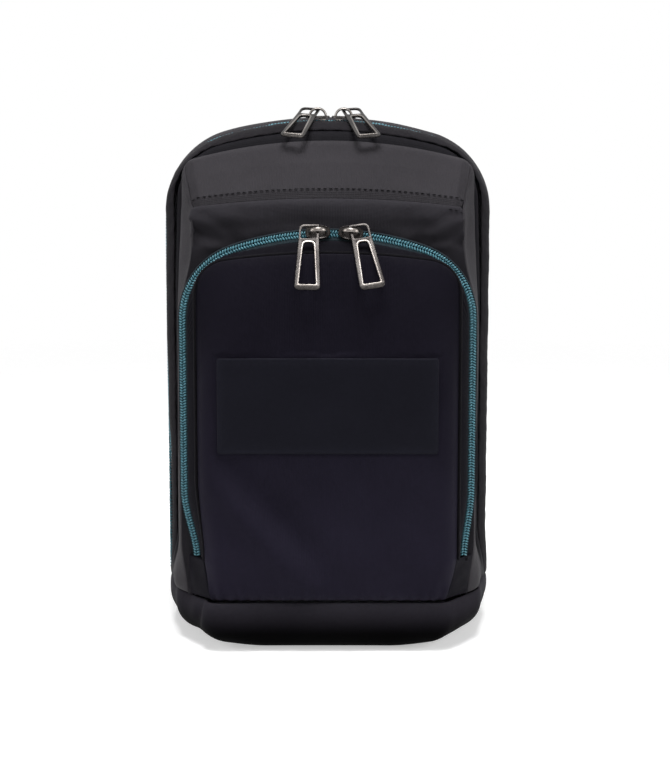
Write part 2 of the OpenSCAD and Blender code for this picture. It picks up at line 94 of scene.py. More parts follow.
def seen_directly(tree):
    """1 for rays from the camera, from gloss or through glass, and 0 for light that falls on the case."""
    path = tree.nodes.new("ShaderNodeLightPath")
    value = path.outputs["Is Camera Ray"]
    for other in ("Is Glossy Ray", "Is Transmission Ray"):
        larger = tree.nodes.new("ShaderNodeMath")
        larger.operation = "MAXIMUM"
        tree.links.new(value, larger.inputs[0])
        tree.links.new(path.outputs[other], larger.inputs[1])
        value = larger.outputs[0]
    return value


def ranged(tree, value, low, high, start=0.0, end=1.0):
    """A Map Range node: as value goes from start to end, its result goes from low to high."""
    node = tree.nodes.new("ShaderNodeMapRange")
    for label, number in (("From Min", start), ("From Max", end), ("To Min", low), ("To Max", high)):
        node.inputs[label].default_value = number
    tree.links.new(value, node.inputs["Value"])
    return node.outputs[0]


def maths(tree, operation, a, b=None, clamp=False):
    """A Math node; a and b are sockets or numbers."""
    node = tree.nodes.new("ShaderNodeMath")
    node.operation = operation
    node.use_clamp = clamp
    for socket, value in zip(node.inputs, (a, b)):
        if isinstance(value, (int, float)):
            socket.default_value = value
        elif value is not None:
            tree.links.new(value, socket)
    return node.outputs[0]


def new_finish(name, specular=0.5):
    """A material, its node tree, its shader and the outputs of its Texture Coordinate node."""
    finish = bpy.data.materials.new(name)
    finish.use_nodes = True
    tree = finish.node_tree
    skin = tree.nodes["Principled BSDF"]
    skin.inputs["Specular IOR Level"].default_value = specular
    return finish, tree, skin, tree.nodes.new("ShaderNodeTexCoord").outputs


room_light, backdrop_light = 0.16, 1.0
world = bpy.data.worlds.new("studio")
bpy.context.scene.world = world
world.use_nodes = True
room = world.node_tree
backdrop = room.nodes["Background"]
backdrop.inputs["Color"].default_value = (1, 1, 1, 1)
room.links.new(ranged(room, seen_directly(room), room_light, backdrop_light), backdrop.inputs["Strength"])

floor_radius, floor_glow = 1.4, 0.42
fade_start, fade_end = 0.45, 1.3
sweep = bmesh.new()
bmesh.ops.create_circle(sweep, cap_ends=True, segments=96, radius=floor_radius)
sweep_mesh = bpy.data.meshes.new("floor")
sweep.to_mesh(sweep_mesh)
sweep.free()
floor = linked("floor", sweep_mesh)
paper, tree, matt, where = new_finish("white_paper", 0.1)
matt.inputs["Base Color"].default_value = (0.8, 0.8, 0.8, 1)
matt.inputs["Roughness"].default_value = 0.9
glow = maths(tree, "MULTIPLY", seen_directly(tree), floor_glow)
mix = tree.nodes.new("ShaderNodeCombineColor")
for channel in ("Red", "Green", "Blue"):
    tree.links.new(glow, mix.inputs[channel])
tree.links.new(mix.outputs[0], matt.inputs["Emission Color"])
matt.inputs["Emission Strength"].default_value = 1
far = tree.nodes.new("ShaderNodeVectorMath")
far.operation = "LENGTH"
tree.links.new(where["Object"], far.inputs[0])
tree.links.new(ranged(tree, far.outputs["Value"], 1, 0, fade_start, fade_end), matt.inputs["Alpha"])
floor.data.materials.append(paper)

# ---- Base boot ----
# Tub of coated cloth over a stiff board, which the case stands on. It is cut from one piece, pressed round
# at the bottom, and sewn to the walls along its upper edge.


def arcs(half_w, height, corner, crown):
    """Centres of an outline's corner and crown arcs, and the angle at which the two meet."""
    middle, crown_z = half_w - corner, height - crown
    corner_z = crown_z + math.sqrt((crown - corner) ** 2 - middle ** 2)
    return middle, crown_z, corner_z, math.acos(middle / (crown - corner))


def outline(section, s):
    """Point (x, z) of a wall's outline: s runs from the left foot over the crown to the right foot."""
    half_w, foot, height, corner, crown = section
    middle, crown_z, corner_z, turn = arcs(half_w, height, corner, crown)
    side, bend = 0.33, 0.08  # shares of s that one side and one corner take up
    t = min(s, 1 - s)
    if t < side:
        px, pz = half_w, foot + (corner_z - foot) * t / side
    elif t < side + bend:
        a = turn * (t - side) / bend
        px, pz = middle + corner * math.cos(a), corner_z + corner * math.sin(a)
    else:
        a = turn + (math.pi / 2 - turn) * (t - side - bend) / (0.5 - side - bend)
        px, pz = crown * math.cos(a), crown_z + crown * math.sin(a)
    return (px if s > 0.5 else -px), pz


def wall_point(rings, s, t):
    """Point of a lofted wall. A ring is [y, half width, foot, height, corner radius, crown radius]."""
    at = t * (len(rings) - 1)
    i = min(int(at), len(rings) - 2)
    ring = [a + (b - a) * (at - i) for a, b in zip(rings[i], rings[i + 1])]
    x, z = outline(ring[1:], s)
    return Vector((x, ring[0], z))


def inset(ring, d):
    """The same ring, d further in."""
    y, half_w, foot, height, corner, crown = ring
    return [y, half_w - d, foot, height - d, max(corner - d, 0.001), crown - d]


def crease(p, length, seed):
    """Soft folds of cloth about that length apart, from -1 to 1."""
    return noise.noise(Vector((p.x / length + seed, p.y / length - seed, p.z / length + 2 * seed)))


def pinch(d, reach):
    """1 at a seam, falling to 0 a reach away from it."""
    return math.exp(-((d / reach) ** 2))


def as_object(bm, name, finish):
    """The mesh as an object at the origin with its material, shaded smooth."""
    mesh = bpy.data.meshes.new(name)
    bm.to_mesh(mesh)
    bm.free()
    mesh.shade_smooth()
    mesh.materials.append(finish)
    return linked(name, mesh)


def give_thickness(obj, thick, smooth=1):
    """Cloth of that thickness, laid inwards from the skin, with soft edges."""
    wall = obj.modifiers.new("thickness", "SOLIDIFY")
    wall.thickness = thick
    wall.offset = -1
    if smooth:
        soft = obj.modifiers.new("softness", "SUBSURF")
        soft.levels = smooth
        soft.render_levels = smooth
    return obj


def sew(obj, body, slot, *nodes):
    """The piece moves with that body and stands for those nodes."""
    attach(obj, body)
    if nodes:
        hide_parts(*nodes)
    return obj


def cloth(name, finish, squares, place, size, relief=None, thick=0.0016, within=(0, 0, 0.15), smooth=1):
    """A cut piece of cloth: a grid whose points go where place(u, v) says, then out by relief(u, v, p).

    Its outer side is the one that faces away from the point within.
    """
    bm = bmesh.new()
    bmesh.ops.create_grid(bm, x_segments=squares[0], y_segments=squares[1], size=0.5)
    uv = bm.loops.layers.uv.new("UVMap")
    edge = bm.verts.layers.float.new("edge")
    at = {v: (v.co.x + 0.5, v.co.y + 0.5) for v in bm.verts}
    for face in bm.faces:
        for loop in face.loops:
            u, v = at[loop.vert]
            loop[uv].uv = (u * size[0], v * size[1])
    for vert, (u, v) in at.items():
        vert.co = place(u, v)
        d = min(u * size[0], (1 - u) * size[0], v * size[1], (1 - v) * size[1])
        vert[edge] = pinch(d, 0.004)
    bm.normal_update()
    centre = Vector(within)
    if sum((f.calc_center_median() - centre).dot(f.normal) * f.calc_area() for f in bm.faces) < 0:
        bmesh.ops.reverse_faces(bm, faces=bm.faces)
        bm.normal_update()
    if relief:
        moves = [(vert, vert.normal * relief(*at[vert], vert.co)) for vert in bm.verts]
        for vert, move in moves:
            vert.co += move
    return give_thickness(as_object(bm, name, finish), thick, smooth)


def group(name, inputs, outputs):
    """A new shader node group with those sockets."""
    tree = bpy.data.node_groups.new(name, "ShaderNodeTree")
    for label, kind, value in inputs:
        socket = tree.interface.new_socket(label, in_out="INPUT", socket_type=kind)
        if value is not None:
            socket.default_value = value
    for label, kind in outputs:
        tree.interface.new_socket(label, in_out="OUTPUT", socket_type=kind)
    return tree, tree.nodes.new("NodeGroupInput"), tree.nodes.new("NodeGroupOutput")


def speckle(tree, where, scale, detail):
    """Noise at that scale, in bumps a metre."""
    node = tree.nodes.new("ShaderNodeTexNoise")
    node.inputs["Scale"].default_value = scale
    node.inputs["Detail"].default_value = detail
    tree.links.new(where, node.inputs["Vector"])
    return node.outputs["Fac"]


# Woven threads: over and under in both directions, from UV in metres.
weave, weave_in, weave_out = group(
    "woven_threads",
    [("Where", "NodeSocketVector", None), ("Threads", "NodeSocketFloat", 900.0)],
    [("Height", "NodeSocketFloat")])
scaled = weave.nodes.new("ShaderNodeVectorMath")
scaled.operation = "SCALE"
weave.links.new(weave_in.outputs["Where"], scaled.inputs[0])
weave.links.new(weave_in.outputs["Threads"], scaled.inputs["Scale"])
split = weave.nodes.new("ShaderNodeSeparateXYZ")
weave.links.new(scaled.outputs[0], split.inputs[0])
warp = maths(weave, "SINE", maths(weave, "MULTIPLY", split.outputs["X"], math.pi))
weft = maths(weave, "SINE", maths(weave, "MULTIPLY", split.outputs["Y"], math.pi))
over = maths(weave, "ABSOLUTE", maths(weave, "MULTIPLY", warp, weft))
weave.links.new(over, weave_out.inputs["Height"])

# Coated cloth: a fine pebble in the coating, slow changes of tone, and rubbed edges that go paler.
coat, coat_in, coat_out = group(
    "coated_cloth",
    [("Where", "NodeSocketVector", None), ("Colour", "NodeSocketColor", (0.03, 0.03, 0.03, 1)),
     ("Rubbed", "NodeSocketColor", (0.08, 0.08, 0.08, 1)), ("Edge", "NodeSocketFloat", 0.0)],
    [("Colour", "NodeSocketColor"), ("Height", "NodeSocketFloat"), ("Roughness", "NodeSocketFloat")])
pebble = speckle(coat, coat_in.outputs["Where"], 2600, 1.0)
slub = speckle(coat, coat_in.outputs["Where"], 420, 3.0)
cloud = speckle(coat, coat_in.outputs["Where"], 22, 3.0)
tone = maths(coat, "ADD", maths(coat, "MULTIPLY", cloud, 0.5), 0.62)
shade = maths(coat, "ADD", tone, maths(coat, "MULTIPLY", slub, 0.28))
dyed = coat.nodes.new("ShaderNodeMix")
dyed.data_type = "RGBA"
dyed.blend_type = "MULTIPLY"
dyed.inputs["Factor"].default_value = 1
coat.links.new(coat_in.outputs["Colour"], dyed.inputs["A"])
grey = coat.nodes.new("ShaderNodeCombineColor")
for channel in ("Red", "Green", "Blue"):
    coat.links.new(shade, grey.inputs[channel])
coat.links.new(grey.outputs[0], dyed.inputs["B"])
rub = maths(coat, "MULTIPLY", coat_in.outputs["Edge"], slub)
worn = coat.nodes.new("ShaderNodeMix")
worn.data_type = "RGBA"
coat.links.new(maths(coat, "MULTIPLY", rub, 0.6, clamp=True), worn.inputs["Factor"])
coat.links.new(dyed.outputs["Result"], worn.inputs["A"])
coat.links.new(coat_in.outputs["Rubbed"], worn.inputs["B"])
coat.links.new(worn.outputs["Result"], coat_out.inputs["Colour"])
coat.links.new(maths(coat, "ADD", pebble, maths(coat, "MULTIPLY", slub, 0.8)), coat_out.inputs["Height"])
coat.links.new(maths(coat, "ADD", maths(coat, "MULTIPLY", cloud, -0.14), 0.66), coat_out.inputs["Roughness"])


def coated(tree, skin, where, colour, rubbed):
    """The coating in those colours, on a shader; gives back the coating's outputs."""
    coating = tree.nodes.new("ShaderNodeGroup")
    coating.node_tree = coat
    coating.inputs["Colour"].default_value = (*colour, 1)
    coating.inputs["Rubbed"].default_value = (*rubbed, 1)
    tree.links.new(where["Object"], coating.inputs["Where"])
    edge = tree.nodes.new("ShaderNodeAttribute")
    edge.attribute_name = "edge"
    tree.links.new(edge.outputs["Fac"], coating.inputs["Edge"])
    tree.links.new(coating.outputs["Colour"], skin.inputs["Base Color"])
    return coating.outputs


def bumped(tree, skin, height, depth):
    """Fine relief on a shader, of that depth in metres."""
    relief = tree.nodes.new("ShaderNodeBump")
    relief.inputs["Strength"].default_value = 1
    relief.inputs["Distance"].default_value = depth
    tree.links.new(height, relief.inputs["Height"])
    tree.links.new(relief.outputs["Normal"], skin.inputs["Normal"])


def cloth_finish(name, colour, rubbed, threads=1500, bump=0.00012, sheen=0.02, specular=0.035):
    """Coated or woven cloth with that many threads a metre, or 0 where the coating hides the weave."""
    finish, tree, skin, where = new_finish(name, specular)
    skin.inputs["Sheen Weight"].default_value = sheen
    skin.inputs["Sheen Roughness"].default_value = 0.45
    skin.inputs["Sheen Tint"].default_value = (0.75, 0.75, 0.8, 1)
    coating = coated(tree, skin, where, colour, rubbed)
    tree.links.new(coating["Roughness"], skin.inputs["Roughness"])
    height = coating["Height"]
    if threads:
        yarn = tree.nodes.new("ShaderNodeGroup")
        yarn.node_tree = weave
        yarn.inputs["Threads"].default_value = threads
        tree.links.new(where["UV"], yarn.inputs["Where"])
        height = maths(tree, "ADD", maths(tree, "MULTIPLY", height, 0.35), yarn.outputs["Height"])
    bumped(tree, skin, height, bump)
    return finish


shell_cloth = cloth_finish("shell_cloth", (0.0255, 0.0236, 0.0268), (0.042, 0.040, 0.044))


def rounded(corners, steps=6):
    """A closed line through the corners (x, y, radius), each turned in an arc."""
    line = []
    n = len(corners)
    for i, corner in enumerate(corners):
        p, before, after = (Vector(c[:2]) for c in (corner, corners[i - 1], corners[(i + 1) % n]))
        a, b = (before - p).normalized(), (after - p).normalized()
        back = corner[2] / math.tan(a.angle(b) / 2)
        back = min(back, (before - p).length * 0.48, (after - p).length * 0.48)
        start, end = p + a * back, p + b * back
        for k in range(steps + 1):
            line.append(start.lerp(p, k / steps).lerp(p.lerp(end, k / steps), k / steps))
    return line


boot_corners = [(0.0995, 0.0750, 0.026), (0.1037, -0.0020, 0.08),
                (0.0955, -0.0500, 0.03), (0.0745, -0.0852, 0.012)]
boot_line = rounded([(-x, y, r) for x, y, r in boot_corners] + boot_corners[::-1], 10)
boot_steps = list(zip(boot_line, boot_line[1:] + boot_line[:1]))
boot_round = sum((b - a).length for a, b in boot_steps)


def boot_plan(s):
    """Point (x, y) at share s of the way round the boot's upper edge, and the direction outwards there."""
    left = (s % 1) * boot_round
    for a, b in boot_steps:
        step = (b - a).length
        if left <= step and step > 0:
            return a.lerp(b, left / step), Vector(((b - a).y, -(b - a).x)).normalized()
        left -= step
    return boot_line[0], Vector((-1, 0))


def boot_half_width(y):
    """Half the boot's width at its upper edge, at that depth."""
    for a, b in boot_steps:
        if a.x > 0 and b.x > 0 and min(a.y, b.y) <= y <= max(a.y, b.y) and a.y != b.y:
            return a.x + (b.x - a.x) * (y - a.y) / (b.y - a.y)
    return 0.08


def ease(t):
    """From 0 to 1 with no kink at either end."""
    t = min(max(t, 0), 1)
    return t * t * (3 - 2 * t)


def to_foot(p):
    """A wall's point, drawn in or out near its foot so that it meets the boot's edge."""
    pull = ease((0.066 - p.z) / 0.034)
    wide = math.copysign(boot_half_width(p.y), p.x)
    return Vector((p.x + (wide - p.x) * pull, p.y, p.z))


def boot_outward(s):
    """Direction outwards, smoothed round the corners."""
    total = Vector((0, 0))
    for k in range(-4, 5):
        total += boot_plan(s + 0.003 * k)[1]
    return total.normalized()


def boot_inside(s, back):
    """Point of the plan moved inwards; at the corners it heads for the middle, so that nothing folds."""
    p = boot_plan(s)[0]
    return p - (boot_outward(s) + 0.8 * p.normalized()).normalized() * back


boot_top, boot_bend, boot_row = 0.032, 0.020, 0.0024


def boot_skin(s, row):
    """Point of the boot: row 0 is its sewn edge, 5 where it starts to turn in, 13 the flat underside."""
    p, out = boot_plan(s)[0], boot_outward(s)
    if row <= 5:
        z, back = boot_top - boot_row * row, 0.0
    else:
        a = math.radians(90 * min((row - 5) / 8, 1))
        z, back = boot_bend - boot_bend * math.sin(a), boot_bend * (1 - math.cos(a))
    q = boot_inside(s, back) * (1 - 0.16 * max(0, row - 13))
    q = Vector((q.x, q.y, z))
    q.z += 0.0045 * ease((abs(p.x) - 0.040) / 0.052) * max(0, 1 - q.z / boot_top) * (1 if p.y < 0 else 0.3)
    if row <= 12:
        fold = 0.0013 * crease(Vector((q.x, q.y, 0.3 * q.z)), 0.018, 3.0)
        fold += 0.0012 * crease(q, 0.040, 8.0)
        fold -= 0.0014 * pinch(row * boot_row, 0.003)
        if q.y < -0.05 and q.x < 0:
            fold -= 0.0030 * pinch(abs(q.x) - 0.0790 - 0.15 * (boot_top - q.z), 0.0022)
        fold *= min(1, (12 - row) / 4)
        q += Vector((out.x, out.y, 0)) * fold
    return q


def dish(sides, rows, place, spacing, reach, middle):
    """A sheet grown inwards, row by row, from its rim to one point; place(s, row) gives the other points."""
    bm = bmesh.new()
    share = bm.verts.layers.float.new("share")
    edge = bm.verts.layers.float.new("edge")
    bmesh.ops.create_circle(bm, segments=sides, radius=1)
    bm.verts.ensure_lookup_table()
    rim, fresh = list(bm.edges), list(bm.verts)
    for i, vert in enumerate(fresh):
        vert[share] = i / sides
    for row in range(rows):
        for vert in fresh:
            vert.co = place(vert[share], row)
            vert[edge] = pinch(row * spacing, reach)
        grown = bmesh.ops.extrude_edge_only(bm, edges=rim)["geom"]
        rim = [g for g in grown if isinstance(g, bmesh.types.BMEdge)]
        fresh = [g for g in grown if isinstance(g, bmesh.types.BMVert)]
    bmesh.ops.pointmerge(bm, verts=fresh, merge_co=middle)
    bm.normal_update()
    return bm


boot_sides, boot_rows = 200, 18
boot = dish(boot_sides, boot_rows, boot_skin, boot_row, 0.004, (0, 0, 0))
if sum(f.normal.z for f in boot.faces if f.calc_center_median().z < 0.0005) > 0:
    bmesh.ops.reverse_faces(boot, faces=boot.faces)

# Painted shade: the boot is the shell's cloth in a darker colour, for the dimmer light low on the case.
boot_cloth = cloth_finish("boot_cloth", (0.0165, 0.0152, 0.0195), (0.026, 0.024, 0.029), sheen=0,
                          specular=0.01)


def graded(finish, low_z, high_z, low_shade):
    """Paints light and shade by height: low_shade times the colour at low_z, the full colour at high_z."""
    tree = finish.node_tree
    skin = tree.nodes["Principled BSDF"]
    colour = skin.inputs["Base Color"].links[0].from_socket
    height = tree.nodes.new("ShaderNodeSeparateXYZ")
    tree.links.new(tree.nodes["Texture Coordinate"].outputs["Object"], height.inputs[0])
    shade = ranged(tree, height.outputs["Z"], low_shade, 1, low_z, high_z)
    shade.node.interpolation_type = "SMOOTHSTEP"
    scaled = tree.nodes.new("ShaderNodeVectorMath")
    scaled.operation = "SCALE"
    tree.links.new(colour, scaled.inputs[0])
    tree.links.new(shade, scaled.inputs["Scale"])
    tree.links.new(scaled.outputs[0], skin.inputs["Base Color"])
    return finish


# Painted shade: the boot's colour falls to 0.03 of itself towards its bottom, for the shadow under its
# rounded foot.
graded(boot_cloth, 0.0100, 0.0300, 0.03)
base_boot = give_thickness(as_object(boot, "base_boot_cloth", boot_cloth), 0.0022)
sew(base_boot, "rear_body", "shell_fabric", "base_boot")

# ---- Rear shell ----
# Coated cloth over foam: one long gusset up the sides and over the top, and a dished back panel, joined by
# piping. Both are sewn to the boot at the bottom.
rear_rings = [[0.0034, 0.1035, 0.032, 0.3245, 0.051, 0.240],
              [0.0207, 0.1029, 0.032, 0.3233, 0.0505, 0.2394],
              [0.0446, 0.1008, 0.032, 0.3191, 0.0490, 0.2373],
              [0.0620, 0.0975, 0.032, 0.3125, 0.0470, 0.234]]
rear_long, rear_deep = 0.714, 0.0586


def rear_relief(u, v, p):
    """The gusset swells between its seams and gathers a little along them."""
    d = min(v, 1 - v) * rear_deep
    foot = min(u, 1 - u) * rear_long
    swell = 0.0016 * math.sin(math.pi * v) - 0.0016 * pinch(d, 0.0028)
    gather = 0.0006 * math.sin(620 * u * rear_long + 5 * crease(p, 0.03, 2.0)) * pinch(d, 0.006)
    slack = 0.0011 * crease(Vector((p.x, 1.6 * p.y, p.z)), 0.042, 1.0) * math.sin(math.pi * v)
    return swell + gather + slack - 0.0012 * pinch(foot, 0.003)


rear_gusset = cloth("rear_gusset_cloth", shell_cloth, (260, 22), lambda u, v: wall_point(rear_rings, u, v),
                    (rear_long, rear_deep), rear_relief)
sew(rear_gusset, "rear_body", "shell_fabric", "rear_gusset")


def top_height(ring, x):
    """Height of an outline straight above x."""
    y, half_w, foot, height, corner, crown = ring
    middle, crown_z, corner_z, turn = arcs(half_w, height, corner, crown)
    if abs(x) < crown * math.cos(turn):
        return crown_z + math.sqrt(crown ** 2 - x ** 2)
    return corner_z + math.sqrt(max(corner ** 2 - (abs(x) - middle) ** 2, 0))


def panel_point(ring, u, v):
    """Point (x, z) of a panel that fills an outline: u runs across it and v from its foot to its top."""
    x = ring[1] * math.sin(math.pi / 2 * (2 * u - 1))
    return x, ring[2] + v * (top_height(ring, x) - ring[2])


def rise(t):
    """From 0 at an edge to 1 a reach inside it, steep at first."""
    return 1 - (1 - min(max(t, 0), 1)) ** 2.2


back_ring = [0.0621, 0.0975, 0.032, 0.3125, 0.047, 0.234]


def back_place(u, v):
    """The panel is dished outwards from the piping."""
    x, z = panel_point(back_ring, u, v)
    side = rise((back_ring[1] - abs(x)) / 0.017) * rise((top_height(back_ring, x) - z) / 0.030)
    return Vector((x, back_ring[0] + 0.0129 * side, z))


def back_relief(u, v, p):
    """Slow slack waves, drawn in along the seams."""
    d = min(back_ring[1] - abs(p.x), top_height(back_ring, p.x) - p.z)
    slack = 0.0013 * crease(Vector((p.x, 0, p.z)), 0.06, 5.0) + 0.0007 * crease(p, 0.022, 7.0)
    return -0.0008 + slack * min(1, max(d, 0) / 0.02) - 0.0012 * pinch(p.z - back_ring[2], 0.003)


back_panel = cloth("back_panel_cloth", shell_cloth, (90, 100), back_place, (0.195, 0.28), back_relief,
                   within=(0, 0.04, 0.15))
sew(back_panel, "rear_body", "shell_fabric", "back_panel")

trim_cloth = cloth_finish("trim_cloth", (0.0050, 0.0046, 0.0060), (0.014, 0.013, 0.016), 1100, 0.0001)


def shown_mesh(obj):
    """Copy of an object's mesh as its modifiers or its curve show it."""
    bpy.context.view_layer.update()
    return bpy.data.meshes.new_from_object(obj.evaluated_get(bpy.context.evaluated_depsgraph_get()))


def from_curve(curve, lines, closed):
    """Mesh of a curve that runs through those lines of points."""
    for points in lines:
        spline = curve.splines.new("POLY")
        spline.points.add(len(points) - 1)
        for point, p in zip(spline.points, points):
            point.co = (*p, 1)
        spline.use_cyclic_u = closed
        spline.use_smooth = True
    shape = linked(curve.name + "_line", curve)
    mesh = shown_mesh(shape)
    bpy.data.objects.remove(shape)
    mesh.name = curve.name
    return mesh


def cord_along(name, finish, path, radius):
    """Round cord or covered welt along a path of points, closed at both ends."""
    curve = bpy.data.curves.new(name, "CURVE")
    curve.dimensions = "3D"
    curve.bevel_depth = radius
    curve.bevel_resolution = 2
    curve.use_fill_caps = True
    mesh = from_curve(curve, [path], False)
    mesh.materials.clear()
    mesh.materials.append(finish)
    mesh.shade_smooth()
    return linked(name, mesh)


def hoop_path(ring):
    """Points along a ring's outline."""
    steps = 220
    return [wall_point([ring, ring], i / steps, 0) for i in range(steps + 1)]


back_piping = cord_along("back_piping_cord", trim_cloth,
                         hoop_path([0.062, 0.0983, 0.0325, 0.3131, 0.0472, 0.2346]), 0.0015)
sew(back_piping, "rear_body", "trim_fabric", "back_piping")

# ---- Haul loop ----
# Flat nylon webbing, folded into a loop and sewn to the back panel through two patches.
loop_radius, loop_foot, loop_leg, webbing_wide = 0.028, 0.280, 0.012, 0.018


def loop_line(t):
    """Middle of the webbing and the direction along it, in the plane of the back panel."""
    bend, bend_z = math.pi * loop_radius, loop_foot - loop_leg
    at = t * (2 * loop_leg + bend)
    if at < loop_leg:
        return Vector((-loop_radius, 0, loop_foot - at)), Vector((0, 0, -1))
    if at > loop_leg + bend:
        return Vector((loop_radius, 0, bend_z + (at - loop_leg - bend))), Vector((0, 0, 1))
    a = math.pi + (at - loop_leg) / loop_radius
    middle = Vector((loop_radius * math.cos(a), 0, bend_z + loop_radius * math.sin(a)))
    return middle, Vector((-math.sin(a), 0, math.cos(a)))


def loop_place(u, v):
    """The webbing lies flat against the back panel, a little domed."""
    middle, along = loop_line(v)
    across = Vector((along.z, 0, -along.x))
    p = middle + across * webbing_wide * (u - 0.5)
    p.y = 0.0789 + 0.0010 * math.sin(math.pi * v) * math.cos(math.pi * (u - 0.5))
    return p


webbing_cloth = cloth_finish("webbing_cloth", (0.012, 0.011, 0.013), (0.03, 0.029, 0.031), 520, 0.0004)
haul_loop = cloth("haul_loop_webbing", webbing_cloth, (8, 60), loop_place, (webbing_wide, 0.112),
                  thick=0.0022, within=(0, 0, 0.25))
sew(haul_loop, "haul_loop", "webbing", "haul_loop")


def box(bm, middle, size):
    """A box with that middle and size, added to the mesh."""
    bmesh.ops.create_cube(bm, size=1, matrix=Matrix.Translation(middle) @ Matrix.Diagonal((*size, 1)))


def round_off(bm, edges, offset, segments=2):
    """Those edges of the mesh, rounded off."""
    bmesh.ops.bevel(bm, geom=list(edges), offset=offset, segments=segments, profile=0.5, material=-1,
                    affect="EDGES")


anchors = bmesh.new()
for x in (-loop_radius, loop_radius):
    box(anchors, (x, 0.0756, 0.276), (0.022, 0.0007, 0.020))
round_off(anchors, anchors.edges, 0.0003)
haul_anchor = as_object(anchors, "haul_anchor_patches", trim_cloth)
sew(haul_anchor, "rear_body", "webbing", "haul_anchor")

# ---- Inside of the rear shell ----
# Foam boards behind every wall, a stiff board in the base, and a brushed lining sewn over them.


def tinted(tree, value, low, high, start=0.0, end=1.0):
    """A colour ramp from low to high, as value goes from start to end."""
    ramp = tree.nodes.new("ShaderNodeValToRGB")
    for stop, colour, at in zip(ramp.color_ramp.elements, (low, high), (start, end)):
        stop.color = (*colour, 1)
        stop.position = at
    tree.links.new(value, ramp.inputs["Fac"])
    return ramp.outputs["Color"]


foam, tree, skin, where = new_finish("foam", 0.2)
skin.inputs["Roughness"].default_value = 0.9
cells = tree.nodes.new("ShaderNodeTexVoronoi")
cells.inputs["Scale"].default_value = 1300
tree.links.new(where["Object"], cells.inputs["Vector"])
cell = cells.outputs["Distance"]
tree.links.new(tinted(tree, cell, (0.05, 0.05, 0.055), (0.11, 0.11, 0.12)), skin.inputs["Base Color"])
bumped(tree, skin, cell, 0.0003)

lining_cloth = cloth_finish("lining_cloth", (0.075, 0.077, 0.086), (0.13, 0.13, 0.14), 700, sheen=0.5)
pad_rings = [[0.0091, 0.1032, 0.032, 0.3239, 0.0507, 0.2397], rear_rings[1], rear_rings[2],
             [0.061, *rear_rings[3][1:]]]


def lay_in(piece, node, body, filled):
    """The piece lies inside a wall: filled, it is a padded foam, and otherwise a lining."""
    return sew(piece, body, "foam" if filled else "lining", node)


def wall_layer(name, node, rings, span, squares, body, filled=True, shape=Vector):
    """A foam board or lining inside a wall, over the share of its outline that span gives."""
    depth, thick, swell = (0.0022, 0.0057, 0.0002) if filled else (0.0086, 0.0009, 0.0004)
    inside = [inset(r, depth) for r in rings]
    long = (span[1] - span[0]) * 0.7
    deep = abs(rings[-1][0] - rings[0][0])

    def put(u, v):
        return shape(wall_point(inside, span[0] + (span[1] - span[0]) * u, v))

    def puff(u, v, p):
        d = min(u * long, (1 - u) * long, v * deep, (1 - v) * deep)
        return swell * crease(p, 0.03, 4.0) * (1 - pinch(d, 0.006)) - 0.4 * swell

    piece = cloth(name, foam if filled else lining_cloth, squares, put, (long, deep), puff, thick)
    return lay_in(piece, node, body, filled)


foam_spans = {"left": (0.004, 0.388), "right": (0.612, 0.996), "top": (0.392, 0.608)}
for side, span in foam_spans.items():
    wall_layer("rear_foam_" + side + "_pad", "rear_foam_" + side, pad_rings, span,
               (36 if side == "top" else 60, 10), "rear_body")
wall_layer("rear_lining_cloth", "rear_lining", pad_rings, (0.002, 0.998), (200, 14), "rear_body",
           filled=False)


def flat_layer(name, node, ring, y, thick, squares, swell, body, filled=True):
    """A foam board or lining that fills an outline, with its outer face at y."""

    def put(u, v):
        x, z = panel_point(ring, u, v)
        return Vector((x, y, z))

    def puff(u, v, p):
        d = min(ring[1] - abs(p.x), top_height(ring, p.x) - p.z, p.z - ring[2])
        return swell * (crease(p, 0.045, 6.0) - 0.7) * (1 - pinch(max(d, 0), 0.01))

    size = (2 * ring[1], ring[3] - ring[2])
    piece = cloth(name, foam if filled else lining_cloth, squares, put, size, puff, thick,
                  within=(0, y - math.copysign(0.1, y), 0.15))
    return lay_in(piece, node, body, filled)


back_pad_ring = inset([0, 0.0945, 0.034, 0.3065, 0.0395, 0.231], 0.004)
back_lining_ring = inset([0, 0.0945, 0.033, 0.3065, 0.0395, 0.231], 0.0021)
flat_layer("back_foam_pad", "back_foam", back_pad_ring, 0.0695, 0.0060, (30, 40), 0.0002, "rear_body")
flat_layer("back_lining_cloth", "back_lining", back_lining_ring, 0.0618, 0.0009, (44, 56), 0.0006,
           "rear_body", filled=False)


def floor_layer(name, finish, z, thick, grow, node, slot, swell):
    """A board, pad or lining that lies in the base, cut to the boot's plan and grown by that much."""
    rows = 9

    def place(s, row):
        q = boot_inside(s, 0.0205 - grow) * (1 - row / rows)
        lift = swell * (crease(Vector((q.x, q.y, 0)), 0.03, 2.0) - 0.6) * min(1, row / 2)
        return q.x, q.y, z + lift

    bm = dish(120, rows, place, 0.008, 0.006, (0, 0, z - 0.6 * swell))
    if sum(f.normal.z for f in bm.faces) < 0:
        bmesh.ops.reverse_faces(bm, faces=bm.faces)
    piece = give_thickness(as_object(bm, name, finish), thick)
    return sew(piece, "rear_body", slot, node)


board = cloth_finish("board", (0.022, 0.021, 0.020), (0.05, 0.05, 0.05), 0, 0.00008, sheen=0)
floor_layer("base_board_sheet", board, 0.0056, 0.0025, 0.0, "base_board", "board", 0)
floor_layer("base_foam_pad", foam, 0.0117, 0.0059, 0.006, "base_foam", "foam", 0.0002)
floor_layer("base_lining_cloth", lining_cloth, 0.0126, 0.0008, 0.006, "base_lining", "lining", 0.0003)

# ---- Main zip ----
# Coil zip in teal from foot to foot over the top. Its loops lie in two rows on black tapes, the rear tape
# sewn to the gusset and the front one to the band.
zip_ring = [0, 0.1035, 0.0323, 0.3245, 0.051, 0.240]

